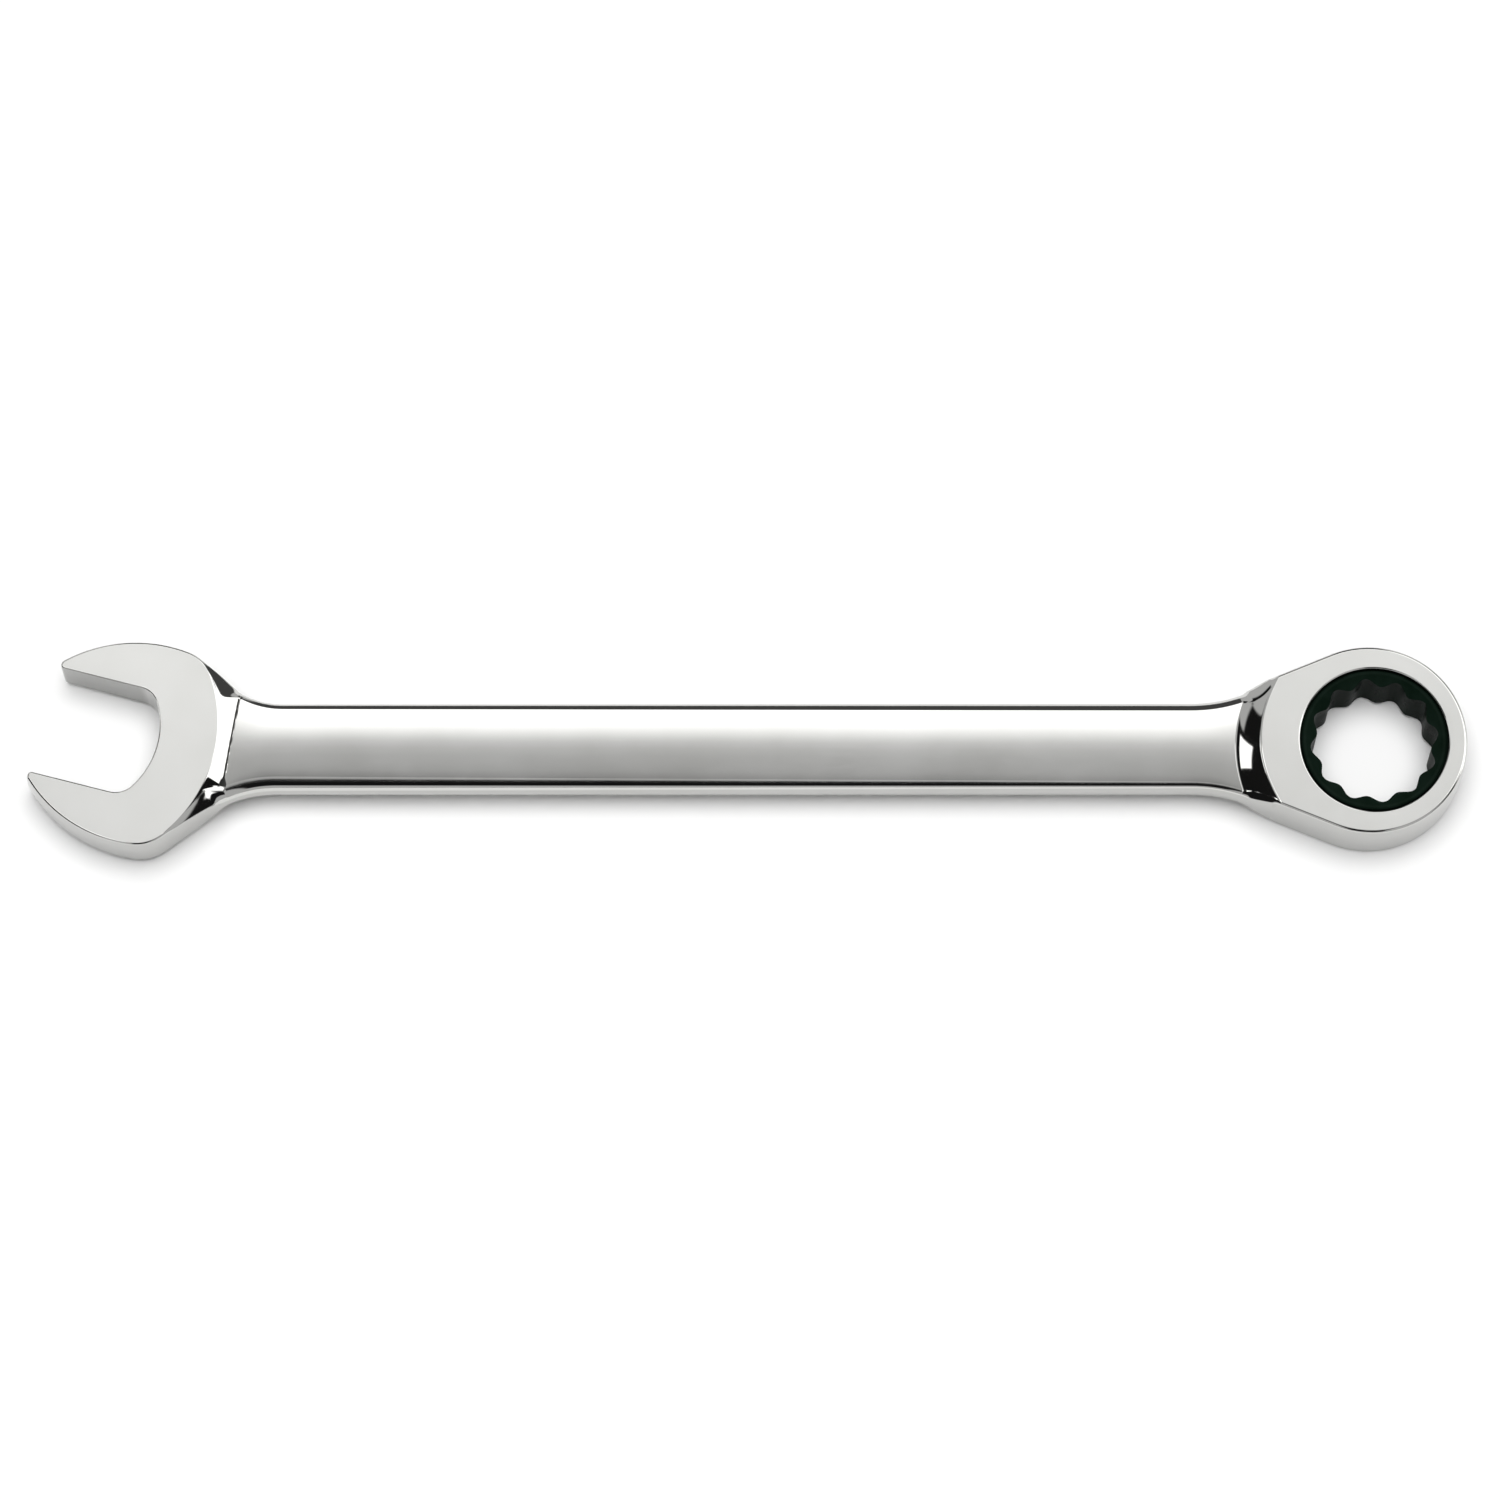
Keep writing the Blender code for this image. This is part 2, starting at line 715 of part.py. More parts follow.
def build_gear(coll, cutters):
    gear = flat_mesh("ratchet_gear", [tooth_outline()], TOOTH_BOTTOM, TOOTH_TOP, coll)
    hub_profile = [
        (0, HUB_Z),
        (HUB_R - HUB_CHAMFER, HUB_Z),
        (HUB_R, HUB_Z - HUB_CHAMFER),
        (HUB_R, HUB_CHAMFER - HUB_Z),
        (HUB_R - HUB_CHAMFER, -HUB_Z),
        (0, -HUB_Z),
    ]
    hub = lathe("join_gear_hub", hub_profile, CUTTER_SEGMENTS, cutters)
    drive = flat_mesh("cut_drive", [lobe_outline()], -HUB_Z - 1, HUB_Z + 1, cutters)
    sinks = []
    for name, sign in (("cut_top_sink", 1), ("cut_low_sink", -1)):
        deep = HUB_Z - SINK_DEPTH
        slope = (SINK_R - (LOBE_MEAN_R - LOBE_DEPTH)) / SINK_DEPTH
        outer = [(0, HUB_Z + 1), (SINK_R + slope, HUB_Z + 1),
                 (LOBE_MEAN_R - LOBE_DEPTH, deep), (0, deep)]
        if sign < 0:
            outer = [(r, -z) for r, z in reversed(outer)]
        sinks.append(lathe(name, outer, CUTTER_SEGMENTS, cutters))
    boolean(gear, hub, "UNION")
    for cutter in [drive] + sinks:
        boolean(gear, cutter, "DIFFERENCE")
    for obj in [gear, hub, drive] + sinks:
        obj.location.x = RING_X * MM
    return gear


def pawl_outline():
    """Pawl in plan about the ring's centre, its teeth meshing at the shank side."""
    pitch = math.tau / TEETH
    valley = TOOTH_TIP_R + PAWL_VALLEY
    points = []
    for i in range(-PAWL_TEETH // 2, PAWL_TEETH // 2):
        middle = math.pi + (i + 0.5) * pitch
        for share, radius in ((-0.5, valley), (0.0, PAWL_TIP_R)):
            a = middle + share * pitch
            points.append((radius * math.cos(a), radius * math.sin(a)))
    last = math.pi + PAWL_TEETH / 2 * pitch
    points.append((valley * math.cos(last), valley * math.sin(last)))
    shoulder_y = PAWL_HALF_W
    shoulder_x = -math.sqrt((TOOTH_TIP_R + PAWL_SHOULDER) ** 2 - shoulder_y**2)
    back = -PAWL_BACK_R
    points += [
        (shoulder_x, -shoulder_y),
        (back + PAWL_CHAMFER, -shoulder_y),
        (back, -shoulder_y + PAWL_CHAMFER),
        (back, shoulder_y - PAWL_CHAMFER),
        (back + PAWL_CHAMFER, shoulder_y),
        (shoulder_x, shoulder_y),
    ]
    return points


def build_pawl(coll):
    pawl = flat_mesh("pawl", [pawl_outline()], PAWL_BOTTOM, PAWL_TOP, coll)
    pawl.location.x = RING_X * MM
    return pawl


def coil_points():
    """Centre line of the compression spring, its end turns lying nearly flat."""
    start = RING_X - SPRING_HOLE_END_R + SPRING_GAP + WIRE_R
    end = RING_X - PAWL_BACK_R - SPRING_GAP - WIRE_R
    count = COIL_TURNS * COIL_STEPS
    points = []
    closed = WIRE_R * CLOSED_PITCH
    for i in range(count + 1):
        turn = COIL_TURNS * i / count
        ends = min(turn, 1.0) + max(turn - COIL_TURNS + 1, 0.0)
        body = min(max(turn - 1, 0.0), COIL_TURNS - 2) / (COIL_TURNS - 2)
        x = start + closed * ends + (end - start - 2 * closed) * body
        a = math.tau * turn
        points.append(Vector((x, COIL_R * math.cos(a), SPRING_Z + COIL_R * math.sin(a))))
    return points


def build_spring(coll):
    """A round wire along the coil, with flat ends."""
    path = coil_points()
    curve = bpy.data.curves.new("pawl_spring", "CURVE")
    curve.dimensions = "3D"
    curve.bevel_depth = WIRE_R * MM
    curve.bevel_resolution = WIRE_BEVEL
    curve.use_fill_caps = True
    spline = curve.splines.new("POLY")
    spline.points.add(len(path) - 1)
    for point, co in zip(spline.points, path):
        point.co = (*(co * MM), 1)
    obj = bpy.data.objects.new("pawl_spring", curve)
    coll.objects.link(obj)
    return obj


def clip_outline():
    """The open retaining ring, its gap on the side away from the shank."""
    start, end = CLIP_GAP / 2, math.tau - CLIP_GAP / 2
    outer = arc(0, 0, CLIP_OUTER_R, start, end, CLIP_SEGMENTS)
    inner = arc(0, 0, CLIP_INNER_R, end, start, CLIP_SEGMENTS)
    return [(x, y) for x, y, nx, ny in outer + inner]


def build_clip(coll):
    clip = flat_mesh("retaining_ring", [clip_outline()], CLIP_BOTTOM, CLIP_TOP, coll)
    clip.location.x = RING_X * MM
    return clip


def main():
    clear_scene()
    coll = new_collection(WRENCH)
    cutters = new_collection(WRENCH + "_cutters", hidden=True)
    chrome = material("body_chrome", (0.78, 0.78, 0.77), 0.08, 1.0)
    black_oxide = material("gear_black_oxide", (0.03, 0.035, 0.035), 0.35, 0.9)
    pawl_steel = material("pawl_steel", (0.32, 0.32, 0.33), 0.35, 1.0)
    spring_wire = material("spring_wire", (0.45, 0.45, 0.46), 0.3, 1.0)
    clip_steel = material("clip_spring_steel", (0.12, 0.12, 0.125), 0.4, 0.9)
    body = build_body(coll, cutters)
    gear = build_gear(coll, cutters)
    pawl = build_pawl(coll)
    spring = build_spring(coll)
    clip = build_clip(coll)
    finished = (
        (body, chrome, 25),
        (gear, black_oxide, 30),
        (pawl, pawl_steel, 30),
        (spring, spring_wire, 70),
        (clip, clip_steel, 30),
    )
    for obj, mat, angle in finished:
        obj.data.materials.append(mat)
        shade(obj, angle)
    lift = Matrix.Translation((0, 0, HEAD_THICK / 2 * MM))
    for obj in list(coll.objects) + list(cutters.objects):
        obj.matrix_world = lift @ obj.matrix_basis


main()
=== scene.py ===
"""The looks of a chrome combination wrench: an open jaw and a ratcheting ring.

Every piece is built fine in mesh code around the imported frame, whose box it keeps.
Plan lengths are millimetres about the middle of the thickness; LIFT brings them to
the frame, where the wrench stands on Z = 0.
"""

import json
import math
import bmesh
import bpy
from mathutils import Matrix, Vector

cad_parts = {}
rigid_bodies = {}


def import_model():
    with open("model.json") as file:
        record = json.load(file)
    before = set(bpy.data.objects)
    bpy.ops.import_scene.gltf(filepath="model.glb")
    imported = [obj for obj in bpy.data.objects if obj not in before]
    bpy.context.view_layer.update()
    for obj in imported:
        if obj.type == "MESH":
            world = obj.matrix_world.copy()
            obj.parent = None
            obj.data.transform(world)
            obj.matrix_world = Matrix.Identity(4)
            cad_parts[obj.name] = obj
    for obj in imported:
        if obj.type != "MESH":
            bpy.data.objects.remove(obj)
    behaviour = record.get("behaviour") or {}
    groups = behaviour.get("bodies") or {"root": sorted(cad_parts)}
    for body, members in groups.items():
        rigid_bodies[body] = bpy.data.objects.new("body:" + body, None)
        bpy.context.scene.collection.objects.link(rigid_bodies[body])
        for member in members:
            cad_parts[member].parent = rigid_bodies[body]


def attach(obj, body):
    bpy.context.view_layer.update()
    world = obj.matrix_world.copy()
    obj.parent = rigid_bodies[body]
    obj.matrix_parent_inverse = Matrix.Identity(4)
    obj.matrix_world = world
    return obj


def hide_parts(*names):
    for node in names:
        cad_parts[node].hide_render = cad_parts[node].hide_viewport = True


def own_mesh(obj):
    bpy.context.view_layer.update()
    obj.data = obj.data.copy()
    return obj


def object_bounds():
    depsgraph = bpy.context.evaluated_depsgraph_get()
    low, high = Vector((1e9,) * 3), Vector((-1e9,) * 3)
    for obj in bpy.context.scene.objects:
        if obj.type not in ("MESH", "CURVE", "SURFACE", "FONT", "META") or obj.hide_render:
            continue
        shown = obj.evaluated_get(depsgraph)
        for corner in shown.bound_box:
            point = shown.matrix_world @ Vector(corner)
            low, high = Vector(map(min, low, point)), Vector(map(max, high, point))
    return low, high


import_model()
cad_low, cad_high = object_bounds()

MM = 0.001
LIFT = (cad_low.z + cad_high.z) / 2

# Open end, laid out about the jaw's centre: u points out of the jaw, v across it
JAW_X = -103.783
JAW_Y = -0.084
JAW_ANGLE = math.radians(15)
JAW_OPENING = 19.2
JAW_SIDE_R = 25.1
JAW_SIDE_V = 6.83
JAW_TIP_R = 0.9
JAW_CORNER_R = 7.5
JAW_BACK_U = 13.4
JAW_BACK_R = 26.35
THROAT_U = 12.6
THROAT_R = 15.0
THROAT_FILLET_R = 4.0
JAW_THICK = 9.3
JAW_TAPER = 0.046

# Ring end
RING_X = 107.565
HEAD_OFFSET = -0.75
HEAD_R = 16.9
HEAD_THICK = 11.8
FLANK_ANGLE = math.radians(22.5)
HEAD_CREASE_X = 91.2
HEAD_CREASE_BULGE = 3.15

# Shank
SHANK_HALF = 7.8
SHANK_THICK = 6.9
SHANK_CROWN = 0.45
CROWN_APEX = 0.4
RING_FILLET_R = 26.0
TOP_FILLET_R = 14.0
LOW_FILLET_R = 20.0
TOP_NECK_ANGLE = math.radians(40)
LOW_NECK_ANGLE = math.radians(36.5)
TOP_LEAVE = math.pi / 2 + TOP_NECK_ANGLE - JAW_ANGLE
LOW_LEAVE = math.pi / 2 + LOW_NECK_ANGLE + JAW_ANGLE
RING_START_X = 84.6
RING_START_BULGE = 1.35
TOP_START_X = -86.5
LOW_START_X = -88.8
RAMP_POWER = 1.35
STRAIGHT_FROM = 0.3

# Edge rounding and the slight bulge of the forged sides
JAW_EDGE = 0.4
FLAT_EDGE = 0.3
HEAD_EDGE = 0.55
TOP_SHANK_EDGE = (1.2, 1.8)
LOW_SHANK_EDGE = (2.2, 0.9)
OPEN_SWELL = (2.4, 1.4)
RING_SWELL = (1.2, 0.5)
CREASE_SHARE = 0.96
SWELL_SHARE = 0.25
SWELL_DROP = 0.58
SWELL_POWER = 1.12
SIDE_BULGE = 0.2
BULGE_EDGE = 0.9
CREASE_SOFT = 0.12
FACET = 0.3
FACET_SHARE = 0.3
MARK_HALF = 0.36
MARK_DEPTH = 0.13

# Ratchet, bore and retaining groove
LIP_R = 12.75
LIP_BOTTOM = 4.3
LIP_CHAMFER = 0.3
BORE_R = 13.75
TEETH = 72
TOOTH_TIP_R = 13.4
TOOTH_ROOT_R = 12.85
LAND = 0.1
TOOTH_TOP = 4.0
TOOTH_BOTTOM = -3.2
HUB_R = 12.4
HUB_Z = 5.75
HUB_CHAMFER = 0.25
LOBES = 12
LOBE_MEAN_R = 10.45
LOBE_DEPTH = 0.6
LOBE_PHASE = math.radians(7)
SINK_R = 11.75
SINK_DEPTH = 1.1
GROOVE_R = 14.6
GROOVE_TOP = -3.2
GROOVE_BOTTOM = -4.8
CLIP_OUTER_R = 14.3
CLIP_INNER_R = 12.75
CLIP_TOP = -3.5
CLIP_BOTTOM = -4.5
CLIP_GAP = math.radians(16)

# Pawl, its pocket and its spring, on the ring's centre line toward the shank
PAWL_HALF_W = 4.0
PAWL_TIP_R = 13.1
PAWL_BACK_R = 17.4
PAWL_TOP = 3.5
PAWL_BOTTOM = -2.8
PAWL_TEETH = 6
PAWL_VALLEY = 0.3
PAWL_SHOULDER = 0.35
PAWL_CHAMFER = 0.5
POCKET_HALF_W = 4.3
POCKET_BACK_R = 18.5
POCKET_TOP = 3.8
POCKET_BOTTOM = -3.1
SPRING_HOLE_R = 1.5
SPRING_HOLE_END_R = 23.8
SPRING_Z = 0.35
COIL_R = 1.0
WIRE_R = 0.2
COIL_TURNS = 6
CLOSED_PITCH = 2.4
SPRING_GAP = 0.3

# Facet counts
FINE = 6
SIDE_STEPS = 72
RING_STEPS = 160
BORE_SEGMENTS = 256
CUTTER_SEGMENTS = 256
CLIP_SEGMENTS = 160
LOBE_STEPS = 28
EDGE_STEPS = 8
ACROSS = 96
RAMP_ROWS = 48
RAMP_DEPTH = 56
CREASE_STEPS = 600
SHANK_ROWS = 90
COIL_STEPS = 40
WIRE_BEVEL = 4


# ---------------------------------------------------------------- mesh helpers

def shade(obj, angle_deg):
    """Smooth faces, with edges sharper than the angle kept hard."""
    if obj.type != "MESH":
        return
    limit = math.radians(angle_deg)
    bm = bmesh.new()
    bm.from_mesh(obj.data)
    for face in bm.faces:
        face.smooth = True
    for edge in bm.edges:
        if len(edge.link_faces) == 2:
            edge.smooth = edge.calc_face_angle(0.0) < limit
    bm.to_mesh(obj.data)
    bm.free()


def mesh_object(name, verts, faces, coll):
    """A mesh object from millimetre vertices, its faces turned outward."""
    mesh = bpy.data.meshes.new(name)
    mesh.from_pydata([Vector(v) * MM for v in verts], [], faces)
    bm = bmesh.new()
    bm.from_mesh(mesh)
    bmesh.ops.recalc_face_normals(bm, faces=bm.faces)
    bm.to_mesh(mesh)
    bm.free()
    obj = bpy.data.objects.new(name, mesh)
    coll.objects.link(obj)
    return obj


def flat_mesh(name, outlines, bottom, top, coll):
    """Closed 2D outlines as a filled curve, extruded and turned into a mesh."""
    curve = bpy.data.curves.new(name, "CURVE")
    curve.dimensions = "2D"
    curve.fill_mode = "BOTH"
    curve.extrude = (top - bottom) / 2 * MM
    for outline in outlines:
        spline = curve.splines.new("POLY")
        spline.points.add(len(outline) - 1)
        for point, (x, y) in zip(spline.points, outline):
            point.co = (x * MM, y * MM, 0, 1)
        spline.use_cyclic_u = True
    source = bpy.data.objects.new(name + "_outline", curve)
    coll.objects.link(source)
    source.location.z = (top + bottom) / 2 * MM
    bpy.context.view_layer.update()
    depsgraph = bpy.context.evaluated_depsgraph_get()
    mesh = bpy.data.meshes.new_from_object(source.evaluated_get(depsgraph))
    mesh.name = name
    bm = bmesh.new()
    bm.from_mesh(mesh)
    bmesh.ops.remove_doubles(bm, verts=bm.verts, dist=1e-7)
    bm.to_mesh(mesh)
    bm.free()
    obj = bpy.data.objects.new(name, mesh)
    obj.matrix_world = source.matrix_world.copy()
    bpy.data.objects.remove(source, do_unlink=True)
    coll.objects.link(obj)
    return obj


def lathe(name, profile, segments, coll):
    """A closed body turned about Z from (radius, z) points running top to bottom."""
    mesh = bpy.data.meshes.new(name)
    points = [Vector((r * MM, 0, z * MM)) for r, z in profile]
    mesh.from_pydata(points, [(i, i + 1) for i in range(len(points) - 1)], [])
    obj = bpy.data.objects.new(name, mesh)
    coll.objects.link(obj)
    screw = obj.modifiers.new("turn", "SCREW")
    screw.axis = "Z"
    screw.angle = math.tau
    screw.steps = segments
    screw.render_steps = segments
    screw.use_merge_vertices = True
    screw.merge_threshold = 1e-6
    return obj


def boolean(target, cutter, operation):
    mod = target.modifiers.new(cutter.name, "BOOLEAN")
    mod.operation = operation
    mod.solver = "EXACT"
    mod.object = cutter
    cutter.display_type = "WIRE"


# ---------------------------------------------------------------- plan outlines
# A path is a list of (x, y, nx, ny): a point and the outward normal there.

def arc(cx, cy, radius, start, end, steps, outward=1):
    path = []
    for i in range(steps + 1):
        a = start + (end - start) * i / steps
        c, s = math.cos(a), math.sin(a)
        path.append((cx + radius * c, cy + radius * s, outward * c, outward * s))
    return path


def jaw_to_plan(u, v):
    c, s = math.cos(JAW_ANGLE), math.sin(JAW_ANGLE)
    return JAW_X - u * c + v * s, JAW_Y + u * s + v * c


def plan_to_jaw(x, y):
    c, s = math.cos(JAW_ANGLE), math.sin(JAW_ANGLE)
    dx, dy = x - JAW_X, y - JAW_Y
    return -dx * c + dy * s, dx * s + dy * c


def jaw_path(path):
    """Turn a path from jaw coordinates (u, v) into plan coordinates."""
    origin = jaw_to_plan(0, 0)
    out = []
    for u, v, nu, nv in path:
        x, y = jaw_to_plan(u, v)
        nx, ny = jaw_to_plan(nu, nv)
        out.append((x, y, nx - origin[0], ny - origin[1]))
    return out


def corner_centre():
    """Centre of the arc that joins the jaw's side arc to its back arc, at +v."""
    side = JAW_SIDE_R - JAW_CORNER_R
    back = JAW_BACK_R - JAW_CORNER_R
    span = math.hypot(JAW_BACK_U, JAW_SIDE_V)
    along = (side**2 - back**2 + span**2) / (2 * span)
    across = math.sqrt(side**2 - along**2)
    du, dv = JAW_BACK_U / span, JAW_SIDE_V / span
    return du * along - dv * across, -JAW_SIDE_V + dv * along + du * across


def jaw_half(corner_start):
    """Half of the jaw at +v, from the corner arc round the tip to the throat."""
    cu, cv = corner_centre()
    half = JAW_OPENING / 2
    tip_v = half + JAW_TIP_R
    tip_u = math.sqrt((JAW_SIDE_R - JAW_TIP_R) ** 2 - (tip_v + JAW_SIDE_V) ** 2)
    joint = math.atan2(cv + JAW_SIDE_V, cu)
    tip = math.atan2(tip_v + JAW_SIDE_V, tip_u)
    fillet_v = half - THROAT_FILLET_R
    fillet_u = THROAT_U - math.sqrt((THROAT_R - THROAT_FILLET_R) ** 2 - fillet_v**2)
    meet = math.atan2(fillet_v, fillet_u - THROAT_U)
    path = arc(cu, cv, JAW_CORNER_R, corner_start, joint, 6 * FINE)
    path += arc(0, -JAW_SIDE_V, JAW_SIDE_R, joint, tip, SIDE_STEPS)[1:]
    path += arc(tip_u, tip_v, JAW_TIP_R, tip, -math.pi / 2, 4 * FINE)[1:]
    path += arc(fillet_u, fillet_v, THROAT_FILLET_R, math.pi / 2, meet, 4 * FINE, -1)
    path += arc(THROAT_U, 0, THROAT_R, meet, math.pi, 5 * FINE, -1)[1:]
    return path


def mirrored(path):
    """The same path reflected across the jaw's centre line, running the other way."""
    return [(u, -v, nu, -nv) for u, v, nu, nv in reversed(path)]


def open_outline():
    """The jaw's rim, from where the top neck leaves it to where the lower neck does."""
    return jaw_path(jaw_half(TOP_LEAVE) + mirrored(jaw_half(LOW_LEAVE))[1:])


def back_crease():
    """The edge of the jaw's flat face across the neck, top end to lower end."""
    cu, cv = corner_centre()
    joint = math.atan2(cv, cu - JAW_BACK_U)
    top = arc(cu, cv, JAW_CORNER_R, TOP_LEAVE, joint, 60 * FINE)
    back = arc(JAW_BACK_U, 0, JAW_BACK_R, joint, math.tau - joint, 100 * FINE)
    low = mirrored(arc(cu, cv, JAW_CORNER_R, LOW_LEAVE, joint, 60 * FINE))
    return jaw_path(top + back[1:] + low[1:])


def neck_path(start, radius, sign, toward):
    """Straight neck then a hollow fillet into the shank's side at y = sign*SHANK_HALF."""
    x0, y0, nx, ny = start
    slope = math.atan2(abs(nx), abs(ny))
    reach = (abs(y0) - SHANK_HALF) / math.tan(slope)
    corner_x = x0 + toward * reach
    flat_x = corner_x + toward * radius * math.tan(slope / 2)
    cy = sign * (SHANK_HALF + radius)
    upright = -sign * math.pi / 2
    lean = upright - toward * sign * slope
    hollow = arc(flat_x, cy, radius, lean, upright, 10 * FINE, -1)
    return [start] + hollow


def side_paths():
    """Both long sides, each from the open jaw to the ring head."""
    rim = open_outline()
    centre = RING_X + HEAD_OFFSET
    leave = math.pi / 2 + FLANK_ANGLE
    sides = []
    for sign, start, radius in ((1, rim[0], TOP_FILLET_R), (-1, rim[-1], LOW_FILLET_R)):
        head = arc(centre, 0, HEAD_R, sign * leave, sign * leave, 1)[0]
        near = neck_path(start, radius, sign, 1)
        far = neck_path(head, RING_FILLET_R, sign, -1)
        sides.append(near + far[::-1])
    return sides


def at_x(path, x):
    """The point of a path that runs along X, found at a given x."""
    for a, b in zip(path, path[1:]):
        if a[0] <= x <= b[0]:
            t = (x - a[0]) / (b[0] - a[0])
            point = [p + (q - p) * t for p, q in zip(a, b)]
            size = math.hypot(point[2], point[3])
            return point[0], point[1], point[2] / size, point[3] / size
    return path[-1] if x > path[-1][0] else path[0]


# ---------------------------------------------------------------- the forging

def blend(a, b, t):
    return a + (b - a) * t


def smooth(t):
    t = min(max(t, 0.0), 1.0)
    return t * t * (3 - 2 * t)


def jaw_height(x, y):
    return (JAW_THICK - JAW_TAPER * plan_to_jaw(x, y)[0]) / 2


def crown(t):
    """Height of the shank's crowned face, t running 0 to 1 across it."""
    return SHANK_THICK / 2 - SHANK_CROWN * (2 * (t - CROWN_APEX)) ** 2


def edge_and_bulge(edge, swell=0.0):
    """An edge's size, its side's bulge (less below a large edge) and its swell, 0 to 1."""
    return edge, SIDE_BULGE * BULGE_EDGE / max(edge, BULGE_EDGE), swell


def rim_edges(path):
    """Edge radius and bulge at each point of the jaw's rim; the flats stay flat."""
    out = []
    for x, y, nx, ny in path:
        beyond = abs(plan_to_jaw(x, y)[1]) - JAW_OPENING / 2
        outer = smooth(beyond / JAW_TIP_R)
        out.append((blend(FLAT_EDGE, JAW_EDGE, outer), SIDE_BULGE * outer, 0.0))
    return out


def chord_arc(start, end, bulge, steps):
    """Plan points of an arc from start to end, bowed by bulge toward +X."""
    sx, sy = start
    ex, ey = end
    out = []
    for i in range(steps + 1):
        t = i / steps
        bow = bulge * 4 * t * (1 - t)
        out.append((blend(sx, ex, t) + bow, blend(sy, ey, t)))
    return out


def inset(point, depth):
    x, y, nx, ny = point
    return x - nx * depth, y - ny * depth


def nearest(points, x, y):
    """The point of a polyline that is closest to (x, y) in plan."""
    best, found = math.inf, points[0]
    for (ax, ay), (bx, by) in zip(points, points[1:]):
        dx, dy = bx - ax, by - ay
        t = ((x - ax) * dx + (y - ay) * dy) / (dx * dx + dy * dy)
        t = min(max(t, 0.0), 1.0)
        point = ax + dx * t, ay + dy * t
        gap = math.dist(point, (x, y))
        if gap < best:
            best, found = gap, point
    return found


def scratch(y):
    """Depth of the shallow mark where the shank begins, uneven across it."""
    return MARK_DEPTH * (0.75 + 0.35 * math.sin(1.9 * y) * math.sin(0.7 * y + 1.0))


def ramp_rows(feet, outer, start, head_height, mark, facet):
    """Rows of 3D points that fall from the head's crease to the ramp's outer edge."""
    first_y, last_y = start[0][1], start[-1][1]
    reach = [math.dist(p, q) for p, q in zip(feet, outer)]
    for k in range(RAMP_ROWS):
        reach[k] = max(reach[k], reach[RAMP_ROWS])
        reach[-1 - k] = max(reach[-1 - k], reach[-1 - RAMP_ROWS])
    rows = []
    for j in range(RAMP_DEPTH + 1):
        share = (1 - math.cos(math.pi * j / RAMP_DEPTH)) / 2
        row = []
        for (px, py), (qx, qy), whole in zip(feet, outer, reach):
            x, y = blend(px, qx, share), blend(py, qy, share)
            near = math.hypot(math.dist((px, py), (x, y)), CREASE_SOFT) - CREASE_SOFT
            near = max(near * FACET_SHARE, near - facet * (1 - FACET_SHARE))
            whole = whole - facet * (1 - FACET_SHARE) - CREASE_SOFT
            far = math.dist((x, y), nearest(start, x, y))
            across = min(max((y - first_y) / (last_y - first_y), 0.0), 1.0)
            fall = 1 - (1 - min(near / whole, 1.0)) ** RAMP_POWER
            z = blend(head_height(x, y), crown(across), fall)
            dip = max(0.0, 1 - abs(far / MARK_HALF - 1))
            row.append((x, y, z - mark * scratch(y) * dip * dip * (3 - 2 * dip)))
        rows.append(row)
    return rows


class Shell:
    """The upper half of the forging's skin; the lower half is its mirror image."""

    def __init__(self):
        self.verts = []
        self.faces = []
        self.index = {}

    def vertex(self, co):
        key = tuple(round(c, 5) for c in co)
        if key not in self.index:
            self.index[key] = len(self.verts)
            self.verts.append(co)
        return self.index[key]

    def face(self, corners):
        """Add a face and its mirror image below the middle plane."""
        for sign in (1, -1):
            ring = [self.vertex((x, y, sign * z)) for x, y, z in corners]
            ring = [v for i, v in enumerate(ring) if v != ring[i - 1]]
            if len(ring) > 2:
                self.faces.append(ring if sign > 0 else ring[::-1])

    def grid(self, rows):
        for a, b in zip(rows, rows[1:]):
            for i in range(len(a) - 1):
                self.face([a[i], a[i + 1], b[i + 1], b[i]])


def wall_column(point, edge, bulge, swell, z_top):
    """Points down the side at one plan point, from the face's edge to mid-height.

    A plain edge is a quarter circle; a swollen one is lower and nearer to a bevel.
    """
    power = 2 / blend(2.0, SWELL_POWER, swell)
    drop = edge * blend(1.0, SWELL_DROP, swell)
    column = []
    for i in range(EDGE_STEPS + 1):
        a = math.pi / 2 * i / EDGE_STEPS
        x, y = inset(point, bulge + edge * (1 - math.sin(a) ** power))
        column.append((x, y, z_top - drop * (1 - max(math.cos(a), 0.0) ** power)))
    x, y = inset(point, bulge / 4)
    column.append((x, y, (z_top - drop) / 2))
    column.append((point[0], point[1], 0.0))
    return column


def neck_points(side, start_x, end_x, head_edge, shank_edge, swell, crease):
    """Side points and edges along one neck; its edge swells, short of the crease."""
    points, edges = [], []
    for i in range(RAMP_ROWS + 1):
        t = i / RAMP_ROWS
        point = at_x(side, blend(start_x, end_x, t))
        plain = blend(head_edge, shank_edge, smooth(t))
        x, y = inset(point, head_edge + SIDE_BULGE)
        room = math.dist((x, y), nearest(crease, x, y))
        edge = min(plain + swell * math.sin(math.pi * t), head_edge + CREASE_SHARE * room)
        points.append(point)
        edges.append(edge_and_bulge(edge, smooth(min(t, 1 - t) / SWELL_SHARE)))
    return points, edges


def shank_stations():
    """Fractions along the shank, close together where its sides curve."""
    return [(1 - math.cos(math.pi * i / SHANK_ROWS)) / 2 for i in range(SHANK_ROWS + 1)]


def side_columns(points, edges, heights):
    return [wall_column(p, *e, z) for p, e, z in zip(points, edges, heights)]


def inner_line(points, edges):
    return [inset(p, edge + bulge) for p, (edge, bulge, swell) in zip(points, edges)]


